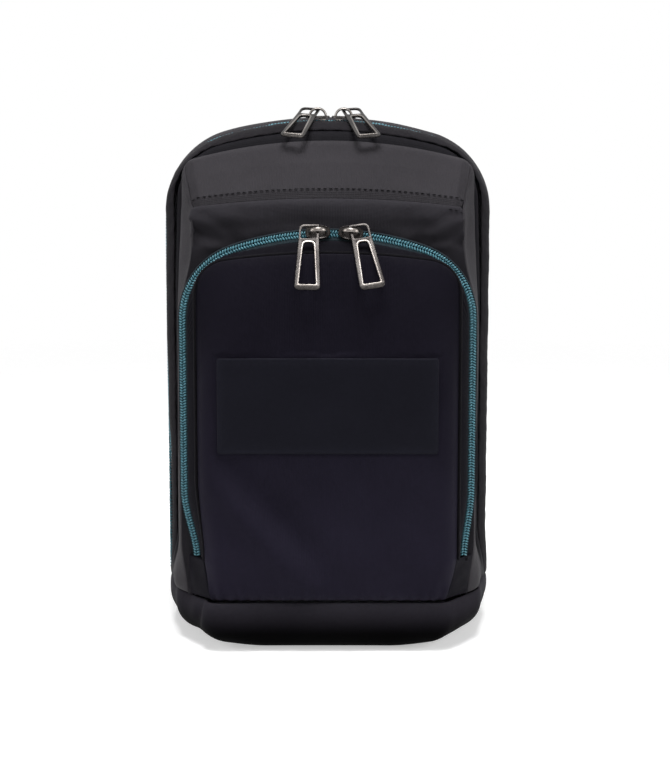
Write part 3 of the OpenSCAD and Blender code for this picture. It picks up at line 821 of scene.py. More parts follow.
teal_coil, tree, skin, where = new_finish("teal_coil", 0.35)
dye = speckle(tree, where["Object"], 700, 2.0)
teal = tinted(tree, dye, (0.022, 0.085, 0.110), (0.078, 0.225, 0.275), 0.3, 0.7)
tree.links.new(teal, skin.inputs["Base Color"])
shine = ranged(tree, speckle(tree, where["Object"], 300, 1.0), 0.32, 0.55)
tree.links.new(shine, skin.inputs["Roughness"])


def beads(size, segments, line, pitch, axes):
    """Mesh of small round beads, evenly spaced along a line of (point, ...); axes(i) turns the bead at i."""
    single = bmesh.new()
    bmesh.ops.create_uvsphere(single, u_segments=6, v_segments=segments, radius=0.5,
                              matrix=Matrix.Diagonal((*size, 1)) @ Matrix.Rotation(math.pi / 2, 4, "Y"))
    one = bpy.data.meshes.new("bead")
    single.to_mesh(one)
    single.free()
    bm = bmesh.new()
    steps = [(b[0] - a[0]).length for a, b in zip(line, line[1:])]
    length = sum(steps)
    count = int(length / pitch)
    travelled, i = 0.0, 0
    for k in range(count):
        want = (k + 0.5) * length / count
        while i < len(line) - 2 and travelled + steps[i] < want:
            travelled += steps[i]
            i += 1
        p = line[i][0].lerp(line[i + 1][0], (want - travelled) / steps[i])
        copy = one.copy()
        copy.transform(Matrix.Translation(p) @ Matrix(axes(i)).transposed().to_4x4())
        bm.from_mesh(copy)
        bpy.data.meshes.remove(copy)
    bpy.data.meshes.remove(one)
    bmesh.ops.recalc_face_normals(bm, faces=bm.faces)
    return bm


def coil(name, track, pitch, size, lean, body, node):
    """A row of coil loops along a track of (point, along, across, up); each loop leans by that angle."""

    def axes(i):
        along, across, up = track[i][1:]
        turn = Matrix.Rotation(math.radians(lean), 3, up)
        return turn @ across, turn @ along, up

    obj = as_object(beads(size, 6, track, pitch, axes), name, teal_coil)
    return sew(obj, body, "zip_coil", node)


track_steps = 300


def outline_at(ring, s):
    """Point of a ring's outline at y = 0, the direction along it and the one outwards."""
    (x, z), a, b = (outline(ring[1:], at) for at in (s, max(s - 0.001, 0), min(s + 0.001, 1)))
    along = Vector((b[0] - a[0], 0, b[1] - a[1])).normalized()
    return Vector((x, 0, z)), along, Vector((-along.z, 0, along.x))


def flank(ring, y, give):
    """Track along a ring's outline, give(s) below it, with the rows side by side along y."""
    track = []
    for i in range(track_steps):
        s = i / (track_steps - 1)
        p, along, up = outline_at(ring, s)
        track.append((p + Vector((0, y, 0)) - up * give(s), along, Vector((0, 1, 0)), up))
    return track


def tuck(s):
    """How far the front flap's edge is drawn in at the lower left, where the zip turns to the front."""
    return 0.0046 * math.exp(-((s - 0.045) / 0.075) ** 2)


def sunk(s):
    """How deep the coil lies under the cloth: it is nearly hidden over the crown and down the right side."""
    return 0.0011 * ease((s - 0.30) / 0.08) * (0.55 if abs(s - 0.5) < 0.05 else 1)


def front_sunk(s):
    """The same for the front row, which also follows the drawn-in edge."""
    return 0.7 * tuck(s) + sunk(s)


loop_size, loop_pitch, row_y = (0.0029, 0.0016, 0.0019), 0.0020, 0.0018
coil_ring = inset(zip_ring, 0.0010)
coil("main_coil_rear", flank(coil_ring, row_y, sunk), loop_pitch, loop_size, 24, "rear_body",
     "main_zip_coil_rear")
coil("main_coil_front", flank(coil_ring, -row_y, front_sunk), loop_pitch, loop_size, -24, "front_flap",
     "main_zip_coil_front")

tape_cloth = cloth_finish("tape_cloth", (0.008, 0.014, 0.018), (0.03, 0.04, 0.045), 1300, 0.00015)


def main_tape(name, place, body, node):
    """Zip tape from foot to foot beside the coil."""
    piece = cloth(name, tape_cloth, (240, 4), place, (0.71, 0.008), thick=0.0006, smooth=0)
    return sew(piece, body, "zip_tape", node)


def tape_ring(y, depth):
    """The zip's outline at that y, so much further in."""
    return inset([y, *zip_ring[1:]], depth)


def rear_tape_place(u, v):
    """From the coil back to the gusset."""
    return wall_point([tape_ring(0.0012, 0.0020), tape_ring(0.0090, 0.0024)], u, v)


def front_tape_place(u, v):
    """From the band to the coil, drawn in with the flap's edge."""
    edges = [tape_ring(-0.0090, 0.0041 + 0.5 * tuck(u)), tape_ring(-0.0012, 0.0021 + tuck(u))]
    return wall_point(edges, u, v)


main_tape("main_tape_rear", rear_tape_place, "rear_body", "main_zip_tape_rear")
main_tape("main_tape_front", front_tape_place, "front_flap", "main_zip_tape_front")

# ---- Front flap ----
# Its walls are cut like the rear ones: a narrow band next to the zip, a sunk welt, two side gussets and the
# smooth top panel, which is left bare. Seams run along the two upper edges of the flap.
# Painted shade: the band is the shell's cloth in a darker colour, for the shaded valley and folds beside the
# zip.
band_cloth = cloth_finish("band_cloth", (0.0105, 0.0096, 0.0112), (0.026, 0.024, 0.028))
foot_z, band_long, band_deep = 0.0323, 0.71, 0.017
band_rings = [[-0.0034, 0.1032, foot_z, 0.3242, 0.051, 0.240],
              [-0.0105, 0.1012, foot_z, 0.3218, 0.047, 0.248],
              [-0.0168, 0.0980, foot_z, 0.3190, 0.037, 0.275]]


def band_place(u, v):
    """The band, drawn in at its rear edge where the zip turns to the front."""
    p = to_foot(wall_point(band_rings, u, v))
    middle = Vector((0, p.y, 0.16))
    return p + (middle - p).normalized() * (1.5 * tuck(u) + 0.0004) * (1 - v) ** 1.5


def band_relief(u, v, p):
    """The band rolls over at both seams and gathers a little along them."""
    rear, front = v * band_deep, (1 - v) * band_deep
    swell = 0.0009 * math.sin(math.pi * v) - 0.0014 * pinch(rear, 0.0018) - 0.0010 * pinch(front, 0.0022)
    gather = 0.0004 * math.sin(700 * u * band_long + 4 * crease(p, 0.02, 3.0))
    gather *= pinch(min(rear, front), 0.004)
    return swell + gather + 0.0006 * crease(p, 0.025, 9.0)


zip_band = cloth("zip_band_cloth", band_cloth, (260, 8), band_place, (band_long, band_deep), band_relief,
                 thick=0.0014)
sew(zip_band, "front_flap", "shell_fabric", "zip_band")

groove_rings = [[-0.0156, 0.0966, foot_z, 0.3176, 0.036, 0.275],
                [-0.0185, 0.0954, foot_z, 0.3152, 0.031, 0.300],
                [-0.0215, 0.0912, foot_z, 0.3100, 0.020, 0.330],
                [-0.0262, 0.0911, foot_z, 0.3090, 0.0085, 0.345]]


def slim(p):
    """The flap narrows towards its upper corners, most at the front."""
    forward = ease((-0.024 - p.y) / 0.036)
    drawn = (0.022 + 0.066 * forward) * ease((p.z - 0.205) / (0.090 - 0.045 * forward))
    return Vector((p.x * (1 - drawn), p.y, p.z))


# Painted shade: the welt is cut from the near-black trim cloth, which stands in for the shadow in the groove
# between band and top panel.
groove = cloth("flap_seam_welt_cloth", trim_cloth, (220, 6),
               lambda u, v: to_foot(slim(wall_point(groove_rings, u, v))), (0.70, 0.010), thick=0.0014)
sew(groove, "front_flap", "trim_fabric", "flap_seam_welt")

flap_rings = [[-0.0240, 0.0930, foot_z, 0.3127, 0.0100, 0.340],
              [-0.0400, 0.09275, foot_z, 0.2998, 0.0085, 0.420],
              [-0.0565, 0.0915, foot_z, 0.2810, 0.0065, 0.720],
              [-0.0640, 0.0912, foot_z, 0.2745, 0.0060, 0.720]]


def flap_place(s, v):
    """Point of the flap's outer wall at share v of its depth."""
    depths = [flap_rings[0][0] - ring[0] for ring in flap_rings]
    d = v * depths[3]
    i = 0 if d < depths[1] else 1 if d < depths[2] else 2
    share = (i + (d - depths[i]) / (depths[i + 1] - depths[i])) / 3
    return to_foot(slim(wall_point(flap_rings, s, share)))


def edge_share(v):
    """Share of the outline at which the side gusset meets the top panel."""
    return 0.373 - 0.020 * v


seam_half, wall_deep = 0.0004, 0.045


def flap_piece(name, part, squares, relief, node, deep=1.0):
    """The left, top or right piece of the flap's wall, over that share of its depth."""

    def put(u, v):
        s = edge_share(v * deep)
        start, end = {"left": (0, s - seam_half), "top": (s + seam_half, 1 - s - seam_half),
                      "right": (1 - s + seam_half, 1)}[part]
        return flap_place(start + (end - start) * u, v * deep)

    long = 0.16 if part == "top" else 0.26
    piece = cloth(name, shell_cloth, squares, put, (long, wall_deep * deep), relief, within=(0, -0.03, 0.15))
    return sew(piece, "front_flap", "shell_fabric", node)


def side_relief(u, v, p):
    """Soft side of the flap: rolled edges, a long shallow dent and a few gathers under the corner."""
    rear, front = v * wall_deep, (1 - v) * wall_deep
    top = abs(p.z - 0.30)
    roll = -0.0016 * pinch(rear, 0.0028) - 0.0009 * pinch(front, 0.002) - 0.0010 * pinch(p.z - 0.032, 0.003)
    dent = 0.0016 * crease(Vector((p.x, 1.3 * p.y, 0.6 * p.z)), 0.045, 11.0)
    gather = 0.0009 * crease(Vector((0, 0.5 * p.y, p.z)), 0.010, 2.0) * pinch(top, 0.05)
    return 0.0006 + roll + (dent + gather) * min(1, rear / 0.01) * min(1, front / 0.008)


for side in ("left", "right"):
    flap_piece("flap_gusset_" + side + "_cloth", side, (110, 18), side_relief, "flap_gusset_" + side)


def top_relief(u, v, p):
    """The top panel sags between its seams and turns under along its front edge."""
    rear, front = v * wall_deep, (1 - v) * wall_deep
    side = min(u, 1 - u) * 0.155
    roll = -0.0014 * pinch(rear, 0.003) - 0.0007 * pinch(side, 0.0018) - 0.0034 * pinch(front, 0.0030)
    sag = -0.0018 * math.sin(math.pi * v) * math.sin(math.pi * u)
    fold = 0.0007 * crease(Vector((0.5 * p.x, p.y, p.z)), 0.03, 21.0)
    fold *= min(1, rear / 0.01) * min(1, front / 0.01)
    return 0.0004 + roll + sag + fold


top_deep = 0.84
flap_piece("top_panel_cloth", "top", (120, 30), top_relief, "top_panel", top_deep)

# ---- Front wall and yoke ----
# Flat wall behind the pocket. Above the pocket it shows as the yoke, sewn under the top panel's folded edge
# with two rows of stitches, and wrinkled where the zip pulls it.
wall_ring = [0, 0.0906, foot_z, 0.2801, 0.0062, 0.720]
# Painted shade: the yoke is the shell's cloth in a darker colour, for an upright wall under the overhead
# light.
yoke_cloth = cloth_finish("yoke_cloth", (0.0170, 0.0158, 0.0190), (0.034, 0.032, 0.037))
wall_y = flap_rings[3][0]


def front_wall_place(u, v):
    """Flat wall whose top edge curves back under the top panel."""
    x, z = panel_point(wall_ring, u, v)
    under = top_height(wall_ring, x) - z
    back = 0.0065 * (1 - min(1, under / 0.015)) ** 2
    p = slim(Vector((x, wall_y, z)))
    return to_foot(Vector((p.x, p.y + back, p.z)))


def front_wall_relief(u, v, p):
    """Slack cloth above the pocket, with slanted wrinkles at both corners and a fold under the top seam."""
    under = top_height(wall_ring, p.x) - p.z
    above = max(0.0, p.z - 0.246)
    slack = 0.0020 * crease(Vector((0.45 * p.x, 0, 1.5 * p.z)), 0.018, 3.0) * min(1, above / 0.01)
    corner = ease((abs(p.x) - 0.030) / 0.045) * ease((0.276 - p.z) / 0.008) * min(1, above / 0.006)
    slanted = Vector((0.5 * abs(p.x) + 0.9 * p.z, 0, 1.2 * p.z - 0.8 * abs(p.x)))
    slack += 0.0036 * crease(slanted, 0.012, 7.0) * corner
    hang = 0.0006 * math.sin(math.pi * min(1, under / 0.022)) * min(1, above / 0.01)
    fold = 0.0012 * pinch(under - 0.0045, 0.0030) - 0.0030 * pinch(under, 0.0018)
    return 0.0002 + (slack + hang) * (1 - pinch(under, 0.004)) + fold


front_wall = cloth("front_wall_cloth", yoke_cloth, (90, 120), front_wall_place, (0.179, 0.245),
                   front_wall_relief, within=(0, 0, 0.15))
sew(front_wall, "front_flap", "shell_fabric", "front_panel", "yoke_panel")

thread = cloth_finish("thread", (0.0060, 0.0058, 0.0068), (0.012, 0.012, 0.014), 0, 0.0001)


stitch_long, stitch_gap, stitch_wide = 0.0024, 0.0011, 0.00064


def stitches(name, line):
    """A row of stitches along a line of (point, outwards), each a short thread sunk at both ends."""

    def axes(i):
        step = line[i + 1][0] - line[i][0]
        up = line[i][1].normalized()
        along = (step - up * step.dot(up)).normalized()
        return along, up.cross(along), up

    size = (stitch_long, stitch_wide, stitch_wide)
    obj = as_object(beads(size, 5, line, stitch_long + stitch_gap, axes), name, thread)
    return sew(obj, "front_flap", "trim_fabric")


upper_row, lower_row = [], []
for i in range(61):
    s = 0.5 + 0.138 * (i / 30 - 1)
    upper_row.append((flap_place(s, 0.755) + Vector((0, 0, 0.0004)), Vector((0, -0.5, 0.9))))
    seam = flap_place(s, top_deep)
    lower_row.append((Vector((seam.x, -0.0610, seam.z - 0.0036)), Vector((0, -0.8, 0.6))))
stitches("top_panel_stitches", upper_row)
stitches("yoke_stitches", lower_row)

# ---- Inside of the front flap ----
# Foam behind each wall of the flap and behind its front, and the same brushed lining over it.
flap_pad_rings = [[-0.0240, *flap_rings[0][1:]], flap_rings[1], [-0.0520, *flap_rings[2][1:]]]
for side, span in foam_spans.items():
    wall_layer("flap_foam_" + side + "_pad", "flap_foam_" + side, flap_pad_rings, span,
               (36 if side == "top" else 60, 8), "front_flap", shape=slim)
wall_layer("flap_lining_cloth", "flap_lining", flap_pad_rings, (0.002, 0.998), (200, 12), "front_flap",
           filled=False, shape=slim)


def front_layer(name, node, half_w, top_z, y, thick, swell, filled=True):
    """A foam board or lining flat behind the front wall, between its side walls."""
    low_z = 0.0326

    def put(u, v):
        p = slim(Vector((half_w * (2 * u - 1), wall_y, low_z + (top_z - low_z) * v)))
        return Vector((p.x, y, p.z))

    def puff(u, v, p):
        d = min(half_w - abs(p.x), top_z - p.z, p.z - low_z)
        return swell * (crease(p, 0.05, 6.0) - 0.8) * (1 - pinch(max(d, 0), 0.01))

    size = (2 * half_w, top_z - low_z)
    piece = cloth(name, foam if filled else lining_cloth, (40, 50), put, size, puff, thick,
                  within=(0, y - 0.1, 0.15))
    return lay_in(piece, node, "front_flap", filled)


front_layer("flap_foam_front_pad", "flap_foam_front", 0.0835, 0.2585, -0.0560, 0.0057, 0.0002)
front_layer("front_lining_cloth", "front_lining", 0.0775, 0.2485, -0.0548, 0.0008, 0.0006, filled=False)

# ---- Pocket zip ----
# The same coil in teal, in an arch over the front pocket. Its outer row is sewn to the wall, and its inner
# row, which stands a little further forward, to the pocket's flap.
pocket_ring = [0, 0.092, 0.058, 0.2614, 0.048, 0.180]
flap_side_ring = [0, 0.092, 0.0583, 0.2614, 0.048, 0.180]


def zip_end(p):
    """The zip's two ends run in towards the pocket's edge, the left one further."""
    if abs(p.x) <= 0.07:
        return p
    inwards = 0.0078 if p.x < 0 else -0.0044
    return Vector((p.x + inwards * ease((0.100 - p.z) / 0.045), p.y, p.z))


def face_edge(p):
    """The pocket's edge gives way to the zip at its lower left."""
    low = ease((0.110 - p.z) / 0.050) * max(0, -p.x) / 0.080
    return Vector((p.x + 0.0042 * low, p.y, p.z))


def arch(ring, y):
    """Track along an arch that faces forwards, with the row turned to lie between front and inside."""
    track = []
    for i in range(track_steps):
        p, along, out = outline_at(ring, i / (track_steps - 1))
        up = (Vector((0, -1, 0)) + 0.42 * out).normalized()
        track.append((zip_end(p + Vector((0, y, 0))), along, along.cross(up), up))
    return track


coil("pocket_coil_body", arch(inset(pocket_ring, 0.0027), -0.0696), 0.0017, (0.0027, 0.0014, 0.0019), -26,
     "front_flap", "pocket_zip_coil_body")
coil("pocket_coil_flap", arch(inset(flap_side_ring, 0.0047), -0.0706), 0.0017, (0.0025, 0.0014, 0.0018), 26,
     "pocket_flap", "pocket_zip_coil_flap")


def pocket_tape(name, ring, strip, body, node):
    """Zip tape along an arch; strip gives (y, depth inside the ring) of its inner and its outer edge."""
    edges = [[y, *inset(ring, depth)[1:]] for y, depth in strip]
    piece = cloth(name, tape_cloth, (200, 4), lambda u, v: zip_end(wall_point(edges, u, v)), (0.56, 0.005),
                  thick=0.0005, smooth=0, within=(0, -0.05, 0.1))
    return sew(piece, body, "zip_tape", node)


pocket_tape("pocket_tape_body", pocket_ring, ((-0.0688, 0.0010), (-0.0641, 0.0007)), "front_flap",
            "pocket_zip_tape_body")
pocket_tape("pocket_tape_flap", flap_side_ring, ((-0.0730, 0.0074), (-0.0702, 0.0050)), "pocket_flap",
            "pocket_zip_tape_flap")

tabs = bmesh.new()
for x in (-0.0790, 0.0840):
    box(tabs, (x, -0.0700, 0.0562), (0.0058, 0.0018, 0.0024))
round_off(tabs, tabs.edges, 0.0006, 3)
sew(as_object(tabs, "zip_end_tab_folds", trim_cloth), "front_flap", "trim_fabric", "zip_end_tabs")

# ---- Pocket ----
# Soft pocket of the same cloth, darker and bluer than the shell: partly its own dye and partly painted shade
# on a front that faces away from the overhead light. Its face runs in one piece from the boot to the top and
# turns over a welted edge into a narrow gusset at the zip.
# Partly painted shade: both colours are far darker than the shell's; part of that is the pocket's own bluish
# dye and part is shade on its front.
pocket_cloth = cloth_finish("pocket_cloth", (0.0045, 0.0041, 0.0060), (0.012, 0.011, 0.015), sheen=0.01,
                            specular=0.02)
face_cloth = cloth_finish("face_cloth", (0.0050, 0.0043, 0.0080), (0.012, 0.011, 0.015), sheen=0.01,
                          specular=0.03)
# Painted light and shade: the face is darkest at the top, for the shadow under the pulls and the fold, and
# 2.2 times as bright at the foot, which faces more upwards.
graded(face_cloth, 0.030, 0.235, 2.2)
pocket_foot = 0.0583
rim_ring = [-0.0800, 0.0800, pocket_foot, 0.2472, 0.021, 0.450]
face_ring = [0, 0.0800, foot_z, 0.2472, 0.021, 0.450]


def gusset_place(u, v):
    """From the zip's outline to the welted edge."""
    start = [-0.0728, 0.0857, pocket_foot, 0.2541, 0.0417, 0.1737]
    p = wall_point([start, rim_ring], u, v)
    return face_edge(p).lerp(zip_end(p), 1 - v)


def gusset_relief(u, v, p):
    """The gusset swells between its seams and puckers where it turns the upper corners."""
    corner = pinch(abs(u - 0.37), 0.07) + pinch(abs(u - 0.63), 0.07)
    pucker = 0.0009 * math.sin(725 * u + 3 * crease(p, 0.02, 4.0)) * corner
    return (0.0008 + pucker + 0.0005 * crease(p, 0.02, 6.0)) * math.sin(math.pi * v)


pocket_gusset = cloth("pocket_gusset_cloth", pocket_cloth, (280, 10), gusset_place, (0.53, 0.012),
                      gusset_relief, thick=0.0013, within=(0, -0.06, 0.1))
sew(pocket_gusset, "pocket_flap", "pocket_fabric", "pocket_gusset")

welt_path = [face_edge(p) for p in hoop_path([-0.0804, 0.0803, 0.0585, 0.2475, 0.0213, 0.450])]
welt = cord_along("pocket_welt", trim_cloth, welt_path, 0.0009)
sew(welt, "pocket_flap", "trim_fabric", "pocket_piping")


def face_place(u, v):
    """The face swells from its welted edge to its middle; below the zip it narrows and sinks to the boot."""
    x, z = panel_point(face_ring, u, v)
    low = min(max((0.058 - z) / 0.0257, 0), 1)
    sides = rise((face_ring[1] - abs(x)) / (0.0125 + 0.024 * ease((z - 0.165) / 0.050)))
    top = rise((top_height(face_ring, x) - z) / 0.050)
    deep = 0.0082 - 0.0058 * low ** 1.4
    p = face_edge(Vector((x, -0.0813 - deep * sides * top, z)))
    return Vector((p.x * (1 - (0.095 if x > 0 else 0.050) * low), p.y, z))


def face_slack(x, z):
    """Slow waves of the face, from -1 to 1."""
    return crease(Vector((x, 0, 0.55 * z)), 0.075, 14.0)


def face_relief(u, v, p):
    """Slow waves, one long soft fold that falls to the lower left, and gathers along the foot."""
    side = 0.0795 - abs(p.x)
    top = top_height(face_ring, min(abs(p.x), 0.0799)) - p.z
    inside = min(1, max(side, 0) / 0.02) * min(1, max(top, 0) / 0.03)
    foot = max(p.z - foot_z, 0)
    slack = 0.0034 * face_slack(p.x, p.z)
    fold_at = (p.x + 0.050) * 0.76 + (p.z - 0.085) * 0.65
    fold = 0.0040 * pinch(fold_at, 0.009) - 0.0034 * pinch(fold_at - 0.017, 0.010)
    fold *= pinch(p.z - 0.082, 0.045)
    gather = 0.0006 * math.sin(900 * p.x + 4 * crease(p, 0.03, 5.0)) * pinch(foot, 0.010)
    seam = -0.0014 * pinch(foot, 0.0025) - 0.0009 * pinch(max(side, 0), 0.002)
    if 0.124 < p.z < 0.187 and abs(p.x) < 0.069:
        slack *= 0.25
    return (slack + fold) * inside * min(1, foot / 0.012) + gather + seam


pocket_face = cloth("pocket_face_cloth", face_cloth, (110, 150), face_place, (0.159, 0.21), face_relief,
                    thick=0.0015, within=(0, -0.05, 0.12))

# The face is kept as its modifiers show it.
settled = shown_mesh(pocket_face)
pocket_face.modifiers.clear()
settled.name = pocket_face.data.name
pocket_face.data = settled
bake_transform(pocket_face)
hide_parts("pocket_face", "pocket_front_lower")


def corner_piece(side, name, node):
    """Side of the pocket between the zip's end and the boot."""
    corner_high = 0.0255

    def put(u, v):
        z = foot_z + v * corner_high
        back = Vector((0.0868 + 0.0032 * v, -0.0642, z))
        front = Vector((0.0728 + 0.0064 * v, -0.0800, z))
        p = back.lerp(front, u)
        p.x *= side
        return p if side > 0 else face_edge(p).lerp(p, 0.3 + 0.5 * (1 - v))

    def relief(u, v, p):
        inside = math.sin(math.pi * u) * math.sin(math.pi * min(1, v * 1.2))
        return 0.0010 * inside * (1 + crease(p, 0.012, 6.0)) - 0.0010 * pinch(v * corner_high, 0.003)

    piece = cloth(name, pocket_cloth, (12, 18), put, (0.018, corner_high), relief, within=(0, -0.05, 0.05))
    return sew(piece, "front_flap", "shell_fabric", node)


corner_piece(-1, "pocket_corner_left_cloth", "pocket_corner_left")
corner_piece(1, "pocket_corner_right_cloth", "pocket_corner_right")

pocket_pad_ring = [0, 0.0660, 0.0622, 0.1860, 0.030, 0.180]
flat_layer("pocket_foam_pad", "pocket_foam", pocket_pad_ring, -0.0850, 0.0019, (30, 36), 0.0001,
           "pocket_flap")
flat_layer("pocket_lining_cloth", "pocket_lining", pocket_pad_ring, -0.0829, 0.0008, (40, 44), 0.0002,
           "pocket_flap", filled=False)

# ---- Patch ----
# Smooth rubbery panel bonded across the middle of the pocket, with a thin raised edge. It is left bare.
patch_skin, tree, skin, where = new_finish("patch_skin", 0.04)
coating = coated(tree, skin, where, (0.0058, 0.0058, 0.0092), (0.012, 0.012, 0.018))
tree.links.new(maths(tree, "MULTIPLY", coating["Roughness"], 0.82), skin.inputs["Roughness"])
bumped(tree, skin, coating["Height"], 0.00004)
patch_half_w, patch_half_h, patch_z, patch_corner = 0.067, 0.0295, 0.1555, 0.0025


def patch_place(u, v):
    """Point of the patch, with its corners rounded off, just in front of the face."""
    x, z = patch_half_w * (2 * u - 1), patch_z + patch_half_h * (2 * v - 1)
    dx = max(abs(x) - patch_half_w + patch_corner, 0)
    dz = max(abs(z - patch_z) - patch_half_h + patch_corner, 0)
    reach = math.hypot(dx, dz)
    if reach > patch_corner and dx > 0 and dz > 0:
        x -= math.copysign(dx * (1 - patch_corner / reach), x)
        z -= math.copysign(dz * (1 - patch_corner / reach), z - patch_z)
    across = 0.5 + math.asin(x / 0.0795) / math.pi
    face = face_place(across, (z - foot_z) / (top_height(rim_ring, x) - foot_z))
    return Vector((x, face.y - 0.00055 * face_slack(x, z) - 0.0009, z))


def patch_relief(u, v, p):
    """A thin raised line runs just inside the edge."""
    d = min(patch_half_w - abs(p.x), patch_half_h - abs(p.z - patch_z))
    return 0.00025 * pinch(d - 0.0012, 0.0006) - 0.0003 * pinch(max(d, 0), 0.0004)


patch = cloth("label_patch_skin", patch_skin, (150, 70), patch_place, (2 * patch_half_w, 2 * patch_half_h),
              patch_relief, thick=0.0009, within=(0, -0.05, 0.15))
sew(patch, "pocket_flap", "patch_fabric", "label_patch")

# ---- Sliders ----
# Cast zinc: an oval plate over the coil, dished and in a far darker nickel that is painted shade and painted
# dark reflection, and in a paler dark nickel a bridge that the pull runs through and a lower plate joined to
# it by a post.


def cast_metal(name, shade, light):
    """Plated casting whose colour drifts from shade to light, with fine grit in its gloss."""
    finish, tree, metal, where = new_finish(name)
    metal.inputs["Metallic"].default_value = 1
    stain = speckle(tree, where["Object"], 60, 1.0)
    tree.links.new(tinted(tree, stain, shade, light, 0.35, 0.65), metal.inputs["Base Color"])
    grit = speckle(tree, where["Object"], 420, 3.0)
    tree.links.new(ranged(tree, grit, 0.22, 0.36, 0.3, 0.7), metal.inputs["Roughness"])
    bumped(tree, metal, speckle(tree, where["Object"], 1500, 3.0), 0.00002)
    return finish


nickel = cast_metal("dark_nickel", (0.165, 0.148, 0.136), (0.260, 0.242, 0.228))
# Painted shade: a far darker copy of the nickel, which stands in for the castings' dark edges and dark
# reflections.
painted_shade_nickel = cast_metal("painted_shade_nickel", (0.030, 0.027, 0.026), (0.062, 0.057, 0.054))


def turned(degrees, axis):
    """A turn about that axis."""
    return Matrix.Rotation(math.radians(degrees), 4, axis)


def on_main_zip(degrees):
    """Frame of a slider on the top of the main zip: x along the zip, -y to the front, z outwards."""
    return Matrix.Translation((0, 0, 0.0845)) @ turned(degrees, "Y") @ Matrix.Translation((0, 0, 0.240))


def on_pocket_zip(degrees):
    """The same on the top of the pocket's zip, which faces 25 degrees upwards."""
    return (Matrix.Translation((0, -0.0708, 0.0814)) @ turned(degrees, "Y")
            @ Matrix.Translation((0, 0, 0.1769)) @ turned(65, "X"))


main_places = {"left": on_main_zip(-1.5), "right": on_main_zip(2.4)}
pocket_places = {"left": on_pocket_zip(-1.9), "right": on_pocket_zip(4.5)}
main_lift, pocket_lift = 0.0004, 0.0012


def slider(name, where, lift, under, tilt, nose):
    """nose is 1 where the rounded end points along +x and -1 where it points along -x."""
    bm = bmesh.new()
    bmesh.ops.create_circle(bm, cap_ends=True, segments=40, radius=1)
    for v in bm.verts:
        square = 0.62 if v.co.x * nose < 0 else 0.95
        v.co.x = math.copysign(abs(v.co.x) ** square, v.co.x) * 0.0078
        v.co.y = math.copysign(abs(v.co.y) ** 0.8, v.co.y) * 0.0046
    plate = bmesh.ops.extrude_face_region(bm, geom=list(bm.faces))["geom"]
    upper = [g for g in plate if isinstance(g, bmesh.types.BMVert)]
    bmesh.ops.translate(bm, verts=upper, vec=(0, 0, 0.0013))
    bmesh.ops.scale(bm, verts=upper, vec=(0.95, 0.93, 1))
    bmesh.ops.recalc_face_normals(bm, faces=bm.faces)
    top = max(bm.faces, key=lambda f: f.calc_center_median().z)
    bmesh.ops.inset_region(bm, faces=[top], thickness=0.0007)
    bmesh.ops.translate(bm, verts=list(top.verts), vec=(0, 0, -0.0005))
    bmesh.ops.inset_region(bm, faces=[top], thickness=0.0006)
    sharp = [e for e in bm.edges if len(e.link_faces) == 2 and e.calc_face_angle(0) > 0.6]
    round_off(bm, sharp, 0.00018)
    # The plate takes the darker nickel: painted shade and a painted dark reflection.
    for face in bm.faces:
        face.material_index = 1
    bmesh.ops.translate(bm, verts=bm.verts, vec=(0, 0, lift))

    bridge = bmesh.new()
    bmesh.ops.create_circle(bridge, segments=16, radius=1)
    for v in bridge.verts:
        v.co = (0.0052 + 0.0008 * v.co.x, 0.0014 * v.co.y, 0)
    bmesh.ops.spin(bridge, geom=list(bridge.verts) + list(bridge.edges), cent=(0, 0, 0), axis=(0, -1, 0),
                   angle=math.pi, steps=28)
    bmesh.ops.holes_fill(bridge, edges=[e for e in bridge.edges if e.is_boundary])
    bmesh.ops.recalc_face_normals(bridge, faces=bridge.faces)
    bmesh.ops.translate(bridge, verts=bridge.verts, vec=(0, 0, lift + 0.0008))
    for v in bridge.verts:
        if v.co.z < lift + 0.0009:
            v.co.z = lift + 0.0004

    lower = bmesh.new()
    box(lower, (nose * 0.003, 0, (lift - under) / 2), (0.004, 0.0004, lift + under))
    box(lower, (nose * 0.003, -0.0019, -under), (0.0075, 0.0042, 0.001))
    round_off(lower, lower.edges, 0.00015)
    lower.transform(turned(tilt, "X"))
    for part in (bridge, lower):
        mesh = bpy.data.meshes.new("part")
        part.to_mesh(mesh)
        part.free()
        bm.from_mesh(mesh)
        bpy.data.meshes.remove(mesh)
    bm.transform(where)
    obj = as_object(bm, name + "_cast", nickel)
    obj.data.materials.append(painted_shade_nickel)
    return sew(obj, name, "slider_metal", name)


for side, nose in (("left", 1), ("right", -1)):
    slider("main_slider_" + side, main_places[side], main_lift, 0.0042, 0, nose)
for side, nose in (("left", 1), ("right", -1)):
    slider("pocket_slider_" + side, pocket_places[side], pocket_lift, 0.0032, 25, nose)

# ---- Pulls ----
# Die-cast loops. A small eye hangs by its bar under the slider's bridge; below it a long window is framed by
# a rim in far darker nickel, painted shade for the casting's dark edges, with a raised inner step in the
# paler nickel.


def flat_metal(name, lines, half_thick):
    """Mesh of a flat casting: its outline and windows, with eased edges."""
    curve = bpy.data.curves.new(name, "CURVE")
    curve.dimensions = "2D"
    curve.fill_mode = "BOTH"
    curve.bevel_depth = 0.0003
    curve.extrude = half_thick - curve.bevel_depth
    curve.bevel_resolution = 2
    curve.offset = -curve.bevel_depth
    return from_curve(curve, [[p.to_3d() for p in line] for line in lines], True)


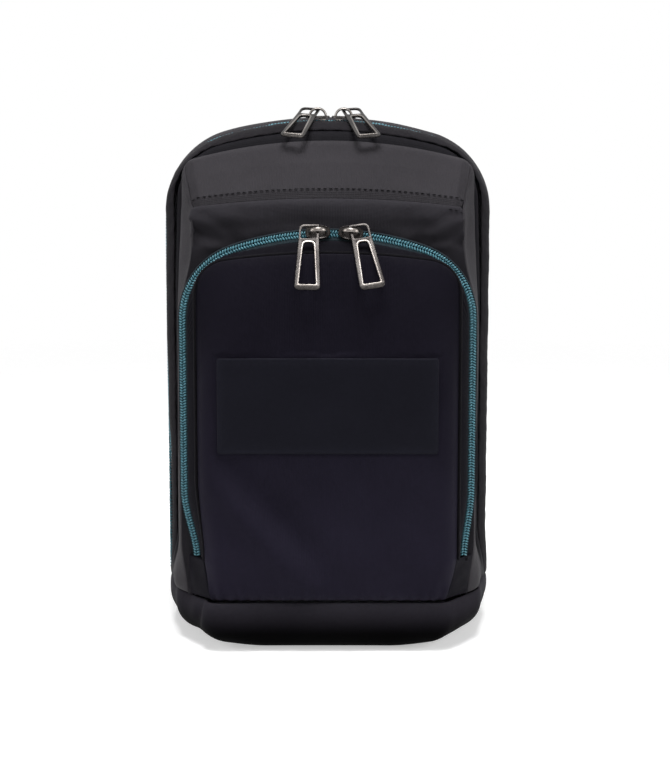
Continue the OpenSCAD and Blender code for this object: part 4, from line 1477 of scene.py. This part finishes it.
def pull(name, where, side):
    """side is -1 where the loop lies left of the bar that it hangs by, and 1 where it lies right of it."""
    body_line = rounded([(-0.0114, 0.0037, 0.0040), (0.00085, 0.0037, 0.0004), (0.00085, -0.0062, 0.004),
                         (0.0024, -0.0400, 0.0032), (-0.0132, -0.0400, 0.0032), (-0.0114, -0.0062, 0.006)])
    eye = rounded([(-0.0100, 0.0022, 0.0030), (-0.00085, 0.0022, 0.0005), (-0.00085, -0.0058, 0.0008),
                   (-0.0100, -0.0058, 0.0008)])
    window = rounded([(-0.0084, -0.0084, 0.0030), (-0.0022, -0.0084, 0.0030), (-0.0002, -0.0366, 0.0008),
                      (-0.0106, -0.0366, 0.0008)])
    step_out = rounded([(-0.0094, -0.0074, 0.0036), (-0.0012, -0.0074, 0.0036), (0.0009, -0.0379, 0.0016),
                        (-0.0117, -0.0379, 0.0016)])
    base = flat_metal(name + "_base", [body_line, eye, window], 0.00068)
    step = flat_metal(name + "_step", [step_out, window], 0.00105)
    bm = bmesh.new()
    bm.from_mesh(base)
    # The base with its rim takes the darker nickel: painted shade for the dark edges.
    for face in bm.faces:
        face.material_index = 1
    bm.from_mesh(step)
    bmesh.ops.remove_doubles(bm, verts=bm.verts, dist=0.000005)
    if side > 0:
        bmesh.ops.scale(bm, verts=bm.verts, vec=(-1, 1, 1))
        bmesh.ops.reverse_faces(bm, faces=bm.faces)
    bm.transform(where)
    obj = as_object(bm, name + "_cast", nickel)
    obj.data.materials.append(painted_shade_nickel)
    obj.data.set_sharp_from_angle(angle=math.radians(40))
    return sew(obj, name, "slider_metal", name)


def hung(zip_frame, lift, drop, lean):
    """Frame of a pull on a slider: it hangs along -y from a bar through the bridge."""
    return zip_frame @ Matrix.Translation((0, 0, lift + 0.0041)) @ turned(drop, "X") @ turned(lean, "Z")


pull("main_pull_left", hung(main_places["left"], main_lift, 22, -16), -1)
pull("main_pull_right", hung(main_places["right"], main_lift, 22, 16), 1)
pull("pocket_pull_left", hung(pocket_places["left"], pocket_lift, -8, -2.9), -1)
pull("pocket_pull_right", hung(pocket_places["right"], pocket_lift, -8, 14.9), 1)
